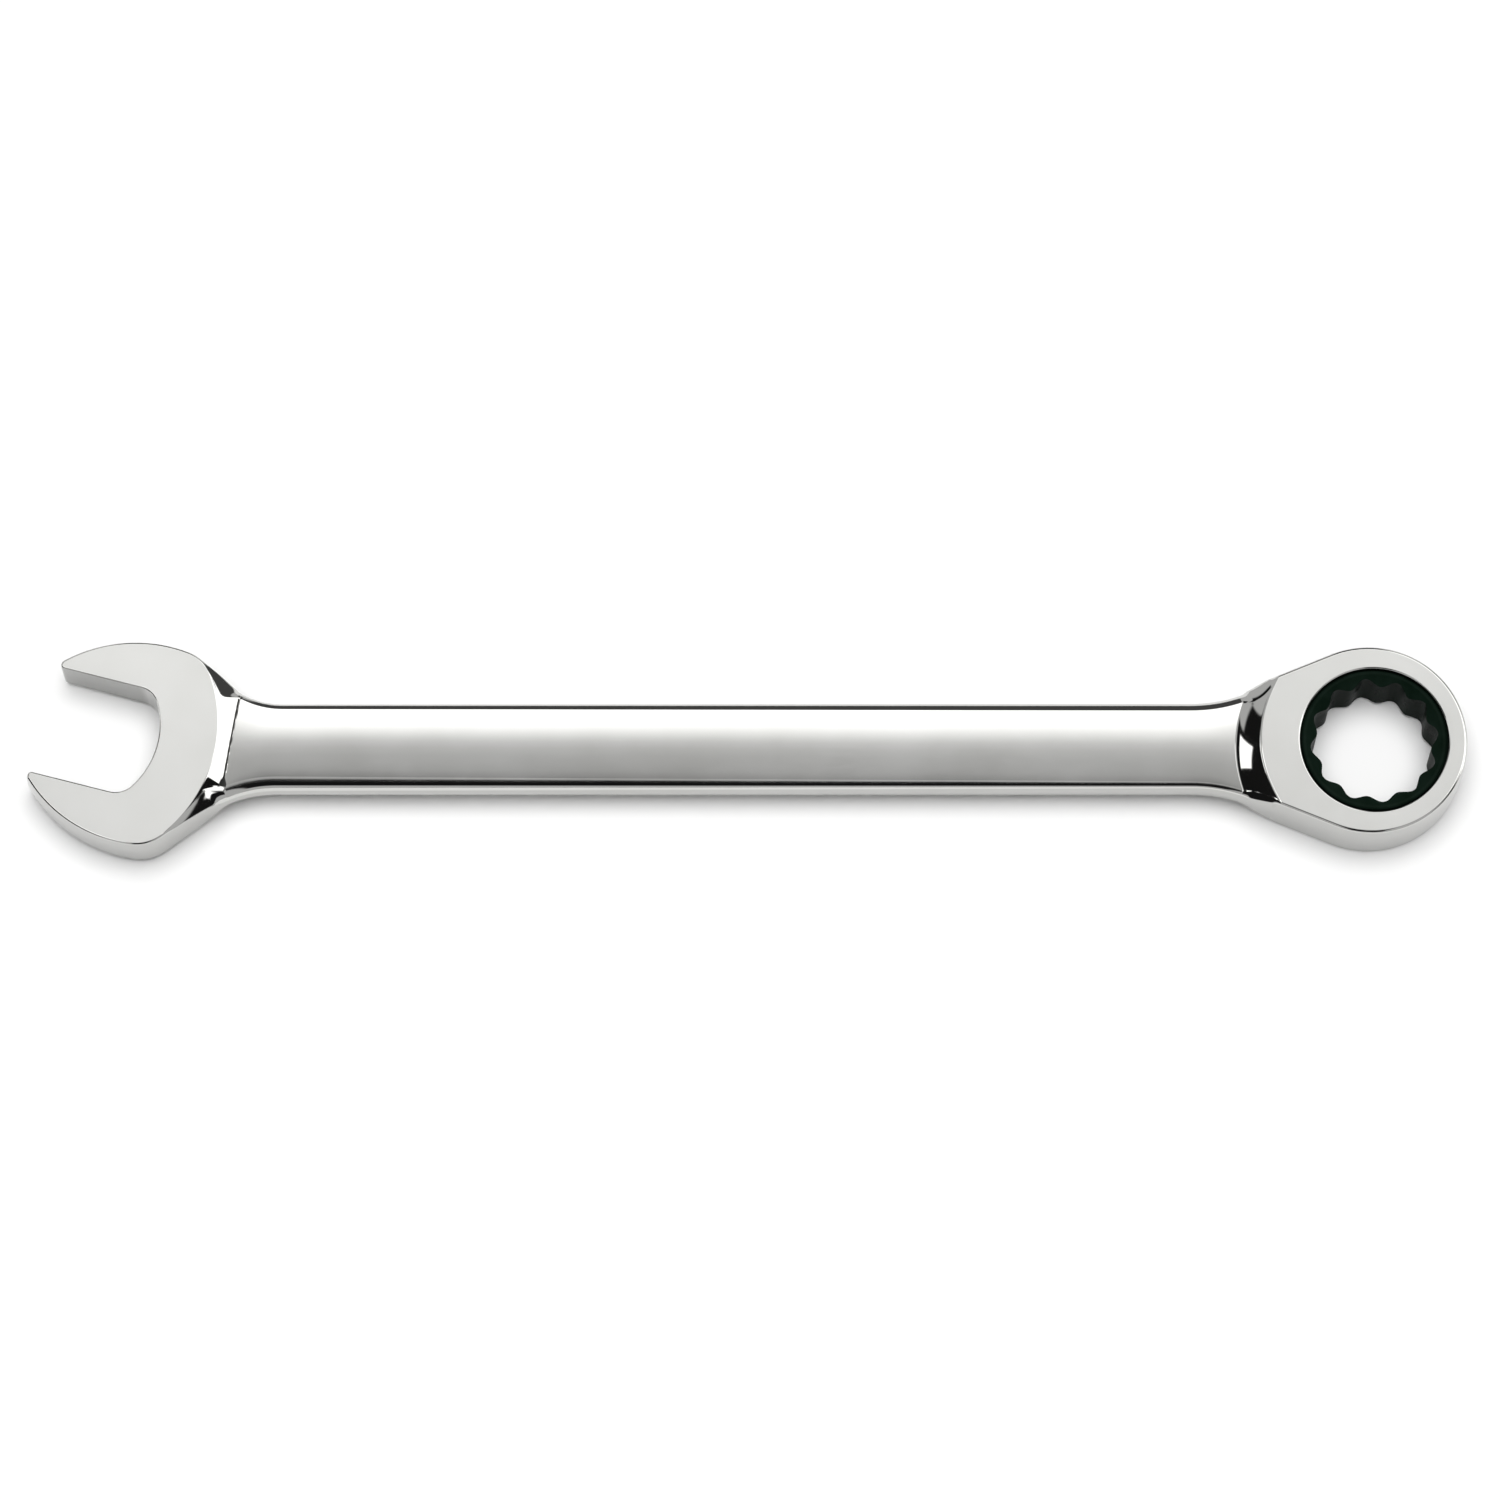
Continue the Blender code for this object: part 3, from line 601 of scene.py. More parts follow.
def shank_rows(stations, top_in, low_in):
    """Grid of the shank's crowned face; its last rows bow to meet the ring's ramp."""
    rows = []
    for f, top, low in zip(stations, top_in, low_in):
        bow = RING_START_BULGE * max(0.0, 1 - (1 - f) / STRAIGHT_FROM)
        plan = chord_arc(top, low, -bow, ACROSS)
        rows.append([(x, y, crown(t / ACROSS)) for t, (x, y) in enumerate(plan)])
    return rows


def forging_shell():
    shell = Shell()
    top_side, low_side = side_paths()
    rim = open_outline()
    rim_edge = rim_edges(rim)
    rim_in = inner_line(rim, rim_edge)

    # shank
    stations = shank_stations()
    top_edges = [edge_and_bulge(blend(*TOP_SHANK_EDGE, f)) for f in stations]
    low_edges = [edge_and_bulge(blend(*LOW_SHANK_EDGE, f)) for f in stations]
    top_pts = [at_x(top_side, blend(TOP_START_X, RING_START_X, f)) for f in stations]
    low_pts = [at_x(low_side, blend(LOW_START_X, RING_START_X, f)) for f in stations]
    top_in = inner_line(top_pts, top_edges)
    low_in = inner_line(low_pts, low_edges)
    open_start = chord_arc(top_in[0], low_in[0], 0.0, ACROSS)
    ring_start = chord_arc(top_in[-1], low_in[-1], -RING_START_BULGE, ACROSS)
    shell.grid(shank_rows(stations, top_in, low_in))
    shell.grid(side_columns(top_pts, top_edges, [crown(0)] * len(stations))[::-1])
    shell.grid(side_columns(low_pts, low_edges, [crown(1)] * len(stations)))

    # jaw: its ramp, its flat face edged by rim and ramp, and its sides
    crease = [inset(p, JAW_EDGE + SIDE_BULGE) for p in back_crease()]
    crease = [rim_in[0]] + crease[1:-1] + [rim_in[-1]]
    feet = open_ramp(shell, top_side, low_side, rim, crease, open_start)
    jaw_face = rim_in + feet[1:-1][::-1]
    shell.face([(x, y, jaw_height(x, y)) for x, y in jaw_face])
    shell.grid(side_columns(rim, rim_edge, [jaw_height(x, y) for x, y in rim_in]))

    ring_end(shell, top_side, low_side, ring_start)
    return shell


def ramp(shell, tops, lows, crease, start, head_height, mark=0.0, facet=0.0):
    """A climbing ramp and the necks' sides along it; gives its points on the crease."""
    top_pts, top_edges = tops
    low_pts, low_edges = lows
    top_in = inner_line(top_pts, top_edges)
    low_in = inner_line(low_pts, low_edges)
    outer = top_in + start[1:-1] + low_in[::-1]
    feet = [nearest(crease, x, y) for x, y in outer]
    rows = ramp_rows(feet, outer, start, head_height, mark, facet)
    shell.grid(rows)
    heights = [z for x, y, z in rows[-1]]
    shell.grid(side_columns(top_pts, top_edges, heights))
    shell.grid(side_columns(low_pts, low_edges, heights[::-1]))
    return feet


def open_ramp(shell, top_side, low_side, rim, crease, start):
    top_swell, low_swell = OPEN_SWELL
    tops = neck_points(top_side, rim[0][0], TOP_START_X, JAW_EDGE, TOP_SHANK_EDGE[0],
                       top_swell, crease)
    lows = neck_points(low_side, rim[-1][0], LOW_START_X, JAW_EDGE, LOW_SHANK_EDGE[0],
                       low_swell, crease)
    return ramp(shell, tops, lows, crease, start, jaw_height, 1.0)


def head_height(x, y):
    return HEAD_THICK / 2


def ring_end(shell, top_side, low_side, start):
    """The ring head's rim, its flat faces and its ramp down to the shank."""
    leave = math.pi / 2 + FLANK_ANGLE
    centre = RING_X + HEAD_OFFSET
    rim = arc(centre, 0, HEAD_R, -leave, leave, RING_STEPS)
    rim = [at_x(low_side, HEAD_CREASE_X)] + rim + [at_x(top_side, HEAD_CREASE_X)]
    edges = [(HEAD_EDGE, SIDE_BULGE, 0.0)] * len(rim)
    rim_in = inner_line(rim, edges)
    crease = chord_arc(rim_in[-1], rim_in[0], -HEAD_CREASE_BULGE, CREASE_STEPS)
    top_swell, low_swell = RING_SWELL
    tops = neck_points(top_side, HEAD_CREASE_X, RING_START_X, HEAD_EDGE, TOP_SHANK_EDGE[1],
                       top_swell, crease)
    lows = neck_points(low_side, HEAD_CREASE_X, RING_START_X, HEAD_EDGE, LOW_SHANK_EDGE[1],
                       low_swell, crease)
    feet = ramp(shell, tops, lows, crease, start, head_height, 0.0, FACET)
    half = HEAD_THICK / 2
    outline = rim_in + feet[1:-1]
    shell.face([(x, y, half) for x, y in outline])
    shell.grid(side_columns(rim, edges, [half] * len(rim)))


def bore_profile():
    half = HEAD_THICK / 2
    return [
        (0, half + 1),
        (LIP_R + LIP_CHAMFER, half + 1),
    ] + [
        (LIP_R + LIP_CHAMFER * (1 - math.sin(a)), half - LIP_CHAMFER * (1 - math.cos(a)))
        for a in (math.pi / 2 * i / EDGE_STEPS for i in range(EDGE_STEPS + 1))
    ] + [
        (LIP_R, LIP_BOTTOM),
        (BORE_R, LIP_BOTTOM),
        (BORE_R, GROOVE_TOP),
        (GROOVE_R, GROOVE_TOP),
        (GROOVE_R, GROOVE_BOTTOM),
        (BORE_R, GROOVE_BOTTOM),
        (BORE_R, LIP_CHAMFER - half),
        (BORE_R + LIP_CHAMFER, -half),
        (BORE_R + LIP_CHAMFER + 1, -half - 1),
        (0, -half - 1),
    ]


def block(name, low, high, coll):
    """A box between two millimetre corners."""
    middle = [(a + b) / 2 * MM for a, b in zip(low, high)]
    size = [(b - a) * MM for a, b in zip(low, high)]
    mesh = bpy.data.meshes.new(name)
    bm = bmesh.new()
    bmesh.ops.create_cube(bm, size=1, matrix=Matrix.LocRotScale(middle, None, size))
    bm.to_mesh(mesh)
    bm.free()
    obj = bpy.data.objects.new(name, mesh)
    coll.objects.link(obj)
    return obj


def build_body(coll, cutters):
    shell = forging_shell()
    body = mesh_object("forged_body", shell.verts, shell.faces, coll)
    bore = lathe("cut_bore", bore_profile(), BORE_SEGMENTS, cutters)
    bore.location.x = RING_X * MM
    pocket = block(
        "cut_pawl_pocket",
        (RING_X - POCKET_BACK_R, -POCKET_HALF_W, POCKET_BOTTOM),
        (RING_X - LIP_R + 1, POCKET_HALF_W, POCKET_TOP),
        cutters,
    )
    hole_profile = [(0, RING_X - LIP_R), (SPRING_HOLE_R, RING_X - LIP_R),
                    (SPRING_HOLE_R, RING_X - SPRING_HOLE_END_R), (0, RING_X - SPRING_HOLE_END_R)]
    hole = lathe("cut_spring_hole", hole_profile, 24, cutters)
    hole.rotation_euler.y = math.pi / 2
    hole.location.z = SPRING_Z * MM
    for cutter in (bore, pocket, hole):
        boolean(body, cutter, "DIFFERENCE")
    return body


# ---------------------------------------------------------------- ratchet parts

def tooth_outline():
    """Gear rim: each tooth has a narrow tip land, set symmetrically about it."""
    pitch = math.tau / TEETH
    points = []
    for i in range(TEETH):
        for share, radius in ((-LAND, TOOTH_TIP_R), (LAND, TOOTH_TIP_R), (0.5, TOOTH_ROOT_R)):
            a = (i + share) * pitch
            points.append((radius * math.cos(a), radius * math.sin(a)))
    return points


def lobe_outline():
    """The twelve-point drive: a smooth wave whose crests take a hexagon's corners."""
    count = LOBES * LOBE_STEPS
    points = []
    for i in range(count):
        a = math.tau * i / count
        radius = LOBE_MEAN_R + LOBE_DEPTH * math.cos(LOBES * (a - LOBE_PHASE))
        points.append((radius * math.cos(a), radius * math.sin(a)))
    return points


def build_gear(coll, cutters):
    gear = flat_mesh("drive_gear", [tooth_outline()], TOOTH_BOTTOM, TOOTH_TOP, coll)
    hub_profile = [
        (0, HUB_Z),
        (HUB_R - HUB_CHAMFER, HUB_Z),
        (HUB_R, HUB_Z - HUB_CHAMFER),
        (HUB_R, HUB_CHAMFER - HUB_Z),
        (HUB_R - HUB_CHAMFER, -HUB_Z),
        (0, -HUB_Z),
    ]
    hub = lathe("join_gear_hub", hub_profile, CUTTER_SEGMENTS, cutters)
    drive = flat_mesh("cut_drive", [lobe_outline()], -HUB_Z - 1, HUB_Z + 1, cutters)
    sinks = []
    for name, sign in (("cut_top_sink", 1), ("cut_low_sink", -1)):
        deep = HUB_Z - SINK_DEPTH
        slope = (SINK_R - (LOBE_MEAN_R - LOBE_DEPTH)) / SINK_DEPTH
        outer = [(0, HUB_Z + 1), (SINK_R + slope, HUB_Z + 1),
                 (LOBE_MEAN_R - LOBE_DEPTH, deep), (0, deep)]
        if sign < 0:
            outer = [(r, -z) for r, z in reversed(outer)]
        sinks.append(lathe(name, outer, CUTTER_SEGMENTS, cutters))
    boolean(gear, hub, "UNION")
    for cutter in [drive] + sinks:
        boolean(gear, cutter, "DIFFERENCE")
    for obj in [gear, hub, drive] + sinks:
        obj.location.x = RING_X * MM
    return gear


def pawl_outline():
    """Pawl in plan about the ring's centre, its teeth meshing at the shank side."""
    pitch = math.tau / TEETH
    valley = TOOTH_TIP_R + PAWL_VALLEY
    points = []
    for i in range(-PAWL_TEETH // 2, PAWL_TEETH // 2):
        middle = math.pi + (i + 0.5) * pitch
        for share, radius in ((-0.5, valley), (0.0, PAWL_TIP_R)):
            a = middle + share * pitch
            points.append((radius * math.cos(a), radius * math.sin(a)))
    last = math.pi + PAWL_TEETH / 2 * pitch
    points.append((valley * math.cos(last), valley * math.sin(last)))
    shoulder_y = PAWL_HALF_W
    shoulder_x = -math.sqrt((TOOTH_TIP_R + PAWL_SHOULDER) ** 2 - shoulder_y**2)
    back = -PAWL_BACK_R
    points += [
        (shoulder_x, -shoulder_y),
        (back + PAWL_CHAMFER, -shoulder_y),
        (back, -shoulder_y + PAWL_CHAMFER),
        (back, shoulder_y - PAWL_CHAMFER),
        (back + PAWL_CHAMFER, shoulder_y),
        (shoulder_x, shoulder_y),
    ]
    return points


def build_pawl(coll):
    pawl = flat_mesh("toothed_pawl", [pawl_outline()], PAWL_BOTTOM, PAWL_TOP, coll)
    pawl.location.x = RING_X * MM
    return pawl


def coil_points():
    """Centre line of the compression spring, its end turns lying nearly flat."""
    start = RING_X - SPRING_HOLE_END_R + SPRING_GAP + WIRE_R
    end = RING_X - PAWL_BACK_R - SPRING_GAP - WIRE_R
    count = COIL_TURNS * COIL_STEPS
    points = []
    closed = WIRE_R * CLOSED_PITCH
    for i in range(count + 1):
        turn = COIL_TURNS * i / count
        ends = min(turn, 1.0) + max(turn - COIL_TURNS + 1, 0.0)
        body = min(max(turn - 1, 0.0), COIL_TURNS - 2) / (COIL_TURNS - 2)
        x = start + closed * ends + (end - start - 2 * closed) * body
        a = math.tau * turn
        points.append(Vector((x, COIL_R * math.cos(a), SPRING_Z + COIL_R * math.sin(a))))
    return points


def build_spring(coll):
    """A round wire along the coil, with flat ends."""
    path = coil_points()
    curve = bpy.data.curves.new("pawl_coil", "CURVE")
    curve.dimensions = "3D"
    curve.bevel_depth = WIRE_R * MM
    curve.bevel_resolution = WIRE_BEVEL
    curve.use_fill_caps = True
    spline = curve.splines.new("POLY")
    spline.points.add(len(path) - 1)
    for point, co in zip(spline.points, path):
        point.co = (*(co * MM), 1)
    source = bpy.data.objects.new("pawl_coil_path", curve)
    coll.objects.link(source)
    bpy.context.view_layer.update()
    depsgraph = bpy.context.evaluated_depsgraph_get()
    mesh = bpy.data.meshes.new_from_object(source.evaluated_get(depsgraph))
    bpy.data.objects.remove(source, do_unlink=True)
    bm = bmesh.new()
    bm.from_mesh(mesh)
    bmesh.ops.remove_doubles(bm, verts=bm.verts, dist=1e-7)
    bm.to_mesh(mesh)
    bm.free()
    obj = bpy.data.objects.new("pawl_coil", mesh)
    coll.objects.link(obj)
    return obj


def clip_outline():
    """The open retaining ring, its gap on the side away from the shank."""
    start, end = CLIP_GAP / 2, math.tau - CLIP_GAP / 2
    outer = arc(0, 0, CLIP_OUTER_R, start, end, CLIP_SEGMENTS)
    inner = arc(0, 0, CLIP_INNER_R, end, start, CLIP_SEGMENTS)
    return [(x, y) for x, y, nx, ny in outer + inner]


def build_clip(coll):
    clip = flat_mesh("clip_ring", [clip_outline()], CLIP_BOTTOM, CLIP_TOP, coll)
    clip.location.x = RING_X * MM
    return clip


# ---------------------------------------------------------------- materials

# Chrome plate: two tones of steel, and how rough its haze and its polishing lines are
PLATE = ((0.61, 0.61, 0.59), (0.64, 0.64, 0.625))
HAZE_ROUGH = (0.035, 0.06)
LINES_ROUGH = (0.0, 0.02)
WAVE_DEPTH = 0.00004
LINE_DEPTH = 0.0000002
# Painted shade: upright sides, known by how far their normals turn up, lose some brightness
SIDE_SHADE_LOSS = 0.27
SIDE_FADE = (0.15, 0.4)
# Broached jaw flats: brightness lost to painted shade, roughness added, and depth in millimetres
SATIN_SHADE_LOSS = 0.36
SATIN_ROUGH = 0.14
SATIN_DEPTH = 0.12
SATIN_SOFT = (0.02, 0.1)
# Painted shade: a near-black line in the mark where the shank begins, also rougher; its widths
# are in millimetres
MARK_SHADE_LOSS = 0.96
MARK_SHADE_ROUGH = 0.3
MARK_SHADE_HALF = 0.15
MARK_SHADE_UNEVEN = 0.16
MARK_SHADE_SOFT = 0.05
MARK_SHADE_SPREAD = 0.45
MARK_SHADE_FOOT = (0.3, 1.8)
MARK_SHADE_END = 0.1
# Black oxide, near black and faintly green
OXIDE = ((0.003, 0.0075, 0.0045), (0.007, 0.014, 0.01))
OXIDE_IOR = 1.045
OXIDE_ROUGH = (0.24, 0.36)
# Pale floor
FLOOR_TONES = ((0.9, 0.9, 0.9), (0.92, 0.92, 0.915))
FLOOR_RADIUS = 6.0
FLOOR_GAP = 0.00005


class Maths:
    """A small expression builder for node trees."""

    def __init__(self, nodes, links):
        self.nodes = nodes
        self.links = links

    def math(self, operation, *values):
        node = self.nodes.new("ShaderNodeMath")
        node.operation = operation
        for socket, value in zip(node.inputs, values):
            if isinstance(value, (int, float)):
                socket.default_value = value
            else:
                self.links.new(value, socket)
        return node.outputs[0]

    def fade(self, value, low, high):
        """0 below low and 1 above high, turning smoothly between them."""
        node = self.nodes.new("ShaderNodeMapRange")
        node.interpolation_type = "SMOOTHSTEP"
        node.inputs["From Min"].default_value = low
        node.inputs["From Max"].default_value = high
        self.links.new(value, node.inputs["Value"])
        return node.outputs["Result"]

    def step(self, value, edge, soft):
        return self.fade(value, edge - soft, edge + soft)

    def band(self, value, low, high, soft):
        inside = self.math("SUBTRACT", 1.0, self.step(value, high, soft))
        return self.math("MULTIPLY", self.step(value, low, soft), inside)

    def mix(self, under, over, mask):
        keep = self.math("SUBTRACT", 1.0, mask)
        kept = self.math("MULTIPLY", under, keep)
        return self.math("MULTIPLY_ADD", over, mask, kept)

    def panel(self, under, level, tilt, side, soft):
        """Lay a soft-edged card of light over what is there; its limits are in degrees."""
        tall = self.band(self.tilt, *tilt, soft)
        wide = self.band(self.side, *side, soft)
        return self.mix(under, level, self.math("MULTIPLY", tall, wide))

    def ramp(self, value, stops):
        """A curve through (degrees, level) stops, as steps added up."""
        total = stops[0][1]
        for (a, low), (b, high) in zip(stops, stops[1:]):
            node = self.nodes.new("ShaderNodeMapRange")
            node.inputs["From Min"].default_value = a
            node.inputs["From Max"].default_value = b
            node.inputs["To Min"].default_value = 0.0
            node.inputs["To Max"].default_value = high - low
            self.links.new(value, node.inputs["Value"])
            total = self.math("ADD", total, node.outputs["Result"])
        return total


def tree(name):
    """A material and the parts of its node tree that every material here uses."""
    mat = bpy.data.materials.new(name)
    mat.use_nodes = True
    nodes = mat.node_tree.nodes
    return mat, nodes, mat.node_tree.links, nodes["Principled BSDF"]


def noise(nodes, links, coord, scale, detail=4.0, roughness=0.5):
    node = nodes.new("ShaderNodeTexNoise")
    node.inputs["Scale"].default_value = scale
    node.inputs["Detail"].default_value = detail
    node.inputs["Roughness"].default_value = roughness
    links.new(coord, node.inputs["Vector"])
    return node.outputs["Fac"]


def stretched(nodes, links, coord, scale):
    node = nodes.new("ShaderNodeMapping")
    node.inputs["Scale"].default_value = scale
    links.new(coord, node.inputs["Vector"])
    return node.outputs["Vector"]


def spread(nodes, links, value, low, high, start=0.3, end=0.7):
    """Map a noise value between two numbers."""
    node = nodes.new("ShaderNodeMapRange")
    node.inputs["From Min"].default_value = start
    node.inputs["From Max"].default_value = end
    node.inputs["To Min"].default_value = low
    node.inputs["To Max"].default_value = high
    links.new(value, node.inputs["Value"])
    return node.outputs["Result"]


def two_tone(nodes, links, value, first, second):
    node = nodes.new("ShaderNodeMix")
    node.data_type = "RGBA"
    node.inputs["A"].default_value = (*first, 1)
    node.inputs["B"].default_value = (*second, 1)
    links.new(value, node.inputs["Factor"])
    return node.outputs["Result"]


def bump(nodes, links, height, distance, normal=None):
    node = nodes.new("ShaderNodeBump")
    node.inputs["Strength"].default_value = 1.0
    node.inputs["Distance"].default_value = distance
    links.new(height, node.inputs["Height"])
    if normal is not None:
        links.new(normal, node.inputs["Normal"])
    return node.outputs["Normal"]


def object_coordinates(nodes):
    return nodes.new("ShaderNodeTexCoord").outputs["Object"]


def start_ends():
    """Upper and lower end, in plan, of the line where the open end's ramp stops."""
    ends = []
    for side, x, edges in zip(side_paths(), (TOP_START_X, LOW_START_X),
                              (TOP_SHANK_EDGE, LOW_SHANK_EDGE)):
        edge, bulge, swell = edge_and_bulge(edges[0])
        ends.append(inset(at_x(side, x), edge + bulge))
    return ends


def mark_shade_mask(m, x, y, grain):
    """Painted shade in the mark where the shank begins: a dark line uneven in width, wider at its
    lower end.
    """
    (top_x, top_y), (low_x, low_y) = start_ends()
    run = math.dist((top_x, top_y), (low_x, low_y))
    ux, uy = (top_x - low_x) / run, (top_y - low_y) / run
    shift = low_y * ux - low_x * uy + MARK_HALF
    off = m.math("ABSOLUTE", m.math("ADD", m.math("MULTIPLY", x, uy),
                                    m.math("MULTIPLY_ADD", y, -ux, shift)))
    along = m.math("ADD", m.math("MULTIPLY", x, ux),
                   m.math("MULTIPLY_ADD", y, uy, -low_x * ux - low_y * uy))
    foot = m.math("SUBTRACT", 1.0, m.fade(along, *MARK_SHADE_FOOT))
    half = m.math("MULTIPLY_ADD", grain, MARK_SHADE_UNEVEN, MARK_SHADE_HALF - MARK_SHADE_UNEVEN / 2)
    half = m.math("MULTIPLY_ADD", foot, MARK_SHADE_SPREAD, half)
    beyond = m.math("SUBTRACT", off, half)
    return m.math("MULTIPLY", m.math("SUBTRACT", 1.0, m.step(beyond, 0.0, MARK_SHADE_SOFT)),
                  m.band(along, -MARK_SHADE_END, run + MARK_SHADE_END, MARK_SHADE_END))


def satin_and_shade_mask(m, x, y, z):
    """The jaw's two broached flats: rougher than the rest, and darkened with painted shade."""
    c, s = math.cos(JAW_ANGLE), math.sin(JAW_ANGLE)
    across = m.math("ADD", m.math("MULTIPLY", x, s),
                    m.math("MULTIPLY_ADD", y, c, -JAW_X * s - JAW_Y * c))
    gap = m.math("SUBTRACT", m.math("ABSOLUTE", across), JAW_OPENING / 2)
    height = JAW_THICK / 2 - FLAT_EDGE
    flat = m.band(gap, -SATIN_DEPTH, SATIN_DEPTH, SATIN_SOFT[0])
    wall = m.band(z, -height, height, SATIN_SOFT[1])
    before = m.math("SUBTRACT", 1.0, m.step(x, JAW_X, 1.0))
    return m.math("MULTIPLY", m.math("MULTIPLY", flat, wall), before)


def side_shade_mask(m, nodes, links):
    """1 on the forging's upright sides, which get painted shade: a darker plate than its faces.
    """
    split = nodes.new("ShaderNodeSeparateXYZ")
    links.new(nodes.new("ShaderNodeTexCoord").outputs["Normal"], split.inputs[0])
    return m.math("SUBTRACT", 1.0, m.fade(m.math("ABSOLUTE", split.outputs[2]), *SIDE_FADE))


def chrome_material():
    """Polished chrome plate over a forging: slow waves, fine haze and polishing lines."""
    mat, nodes, links, shader = tree("chrome_plate")
    coord = object_coordinates(nodes)
    haze = noise(nodes, links, coord, 60.0, 5.0, 0.6)
    lines = noise(nodes, links, stretched(nodes, links, coord, (0.12, 1.0, 1.0)), 2600.0, 3.0)
    waves = noise(nodes, links, coord, 45.0, 1.0)
    shader.inputs["Metallic"].default_value = 1.0
    tint = spread(nodes, links, haze, 0.0, 1.0)
    plate = two_tone(nodes, links, tint, *PLATE)
    m = Maths(nodes, links)
    split = nodes.new("ShaderNodeSeparateXYZ")
    links.new(coord, split.inputs[0])
    x, y, z = [m.math("DIVIDE", value, MM) for value in split.outputs]
    # painted shade: a near-black line along the mark where the shank begins
    mark_shade = mark_shade_mask(m, x, y, noise(nodes, links, coord, 900.0, 2.0))
    # the jaw's flats: painted shade darkens them, and they are also rougher
    satin_and_shade = satin_and_shade_mask(m, x, y, z)
    bright = m.math("MULTIPLY", m.math("MULTIPLY_ADD", satin_and_shade, -SATIN_SHADE_LOSS, 1.0),
                    m.math("MULTIPLY_ADD", mark_shade, -MARK_SHADE_LOSS, 1.0))
    # painted shade: the plate of the upright sides is darkened
    bright = m.math("MULTIPLY", bright,
                    m.math("MULTIPLY_ADD", side_shade_mask(m, nodes, links), -SIDE_SHADE_LOSS, 1.0))
    dimmed = nodes.new("ShaderNodeVectorMath")
    dimmed.operation = "SCALE"
    links.new(plate, dimmed.inputs[0])
    links.new(bright, dimmed.inputs["Scale"])
    links.new(dimmed.outputs[0], shader.inputs["Base Color"])
    rough = m.math("ADD", spread(nodes, links, haze, *HAZE_ROUGH),
                   spread(nodes, links, lines, *LINES_ROUGH))
    rough = m.math("MULTIPLY_ADD", satin_and_shade, SATIN_ROUGH, rough)
    rough = m.math("MULTIPLY_ADD", mark_shade, MARK_SHADE_ROUGH, rough)
    links.new(rough, shader.inputs["Roughness"])
    waved = bump(nodes, links, waves, WAVE_DEPTH)
    links.new(bump(nodes, links, lines, LINE_DEPTH, waved), shader.inputs["Normal"])
    return mat


def oxide_material():
    """Black oxide on machined steel: near black, faintly green, rubbed brighter in spots."""
    mat, nodes, links, shader = tree("black_oxide")
    coord = object_coordinates(nodes)
    mottle = noise(nodes, links, coord, 220.0, 5.0, 0.6)
    grain = noise(nodes, links, coord, 2500.0, 3.0)
    shader.inputs["Metallic"].default_value = 0.0
    shader.inputs["IOR"].default_value = OXIDE_IOR
    tint = spread(nodes, links, mottle, 0.0, 1.0, 0.35, 0.75)
    links.new(two_tone(nodes, links, tint, *OXIDE), shader.inputs["Base Color"])
    links.new(spread(nodes, links, mottle, *OXIDE_ROUGH), shader.inputs["Roughness"])
    links.new(bump(nodes, links, grain, 0.000004), shader.inputs["Normal"])
    return mat


def steel_material(name, dark, light, rough, grain_scale):
    mat, nodes, links, shader = tree(name)
    coord = object_coordinates(nodes)
    mottle = noise(nodes, links, coord, 400.0, 4.0)
    grain = noise(nodes, links, coord, grain_scale, 2.0)
    shader.inputs["Metallic"].default_value = 1.0
    tint = spread(nodes, links, mottle, 0.0, 1.0)
    links.new(two_tone(nodes, links, tint, dark, light), shader.inputs["Base Color"])
    links.new(spread(nodes, links, grain, rough - 0.06, rough + 0.06), shader.inputs["Roughness"])
    links.new(bump(nodes, links, grain, 0.000002), shader.inputs["Normal"])
    return mat


def floor_material():
    mat, nodes, links, shader = tree("pale_floor")
    coord = object_coordinates(nodes)
    mottle = spread(nodes, links, noise(nodes, links, coord, 3.0, 3.0), 0.0, 1.0)
    links.new(two_tone(nodes, links, mottle, *FLOOR_TONES), shader.inputs["Base Color"])
    shader.inputs["Roughness"].default_value = 0.9
    shader.inputs["Specular IOR Level"].default_value = 0.0
    return mat


# ---------------------------------------------------------------- studio

# Plain light: everything but the camera's own reflections is lit by PALE all round and
# by OVERHEAD near straight up, leaning a little to +Y; the camera sees BACKDROP behind
BACKDROP = 1.3
PALE = 0.3
OVERHEAD = 8.1
OVERHEAD_LEAN = math.radians(3)
OVERHEAD_SPREAD = (math.cos(math.radians(30)), math.cos(math.radians(12)))

# Studio that shows in the polished steel: cards of light and dark round a pale room.
# A card is its level, then its limits in degrees: tilt from straight up toward +Y, and
# side toward +X. Later cards lie over earlier ones
DARK = 0.012
GREY = 0.09
WHITE = 2.6
MIDDLE = 0.72
SOFT = 2.0
CRISP = 1.0
FIRST_CARDS = (
    (GREY, (32, 97), (-10, 10), SOFT),
    (GREY, (32, 84), (28, 54), SOFT),
    (DARK, (-64, -5), (-12, 12), SOFT),
    (DARK, (-48, -5), (44, 80), SOFT),
    (DARK, (-60, 36), (-76, -28), SOFT),
    (DARK, (34, 68), (-76, -47), SOFT),
    (WHITE, (2, 29), (-61, -41), CRISP),
    (WHITE, (-8, 16), (-18, -10), CRISP),
)
# The broad card above, brighter with tilt: (degrees, level)
UPWARD = (
    (-6, 0.02), (-3, 0.4), (0, 0.55), (3, 0.62), (7, 0.68), (11, 0.8), (14, 0.98),
    (16, 1.18), (17.4, 1.38), (19, 1.6), (21, 1.9), (25, 2.6), (31, 2.6), (33, 0.09),
)
UPWARD_LIMITS = ((-8, 39), (-9, 60), SOFT)
LAST_CARDS = (
    (WHITE, (7, 42), (9, 88), SOFT),
    (WHITE, (-14, 9), (54, 88), SOFT),
)

# Camera, in metres and millimetres of film
SENSOR = 36.0
LENS = 184.15
CAMERA_TILT = math.radians(16.67)
CAMERA_REACH = 1.321
CAMERA_AIM_X = 0.00047


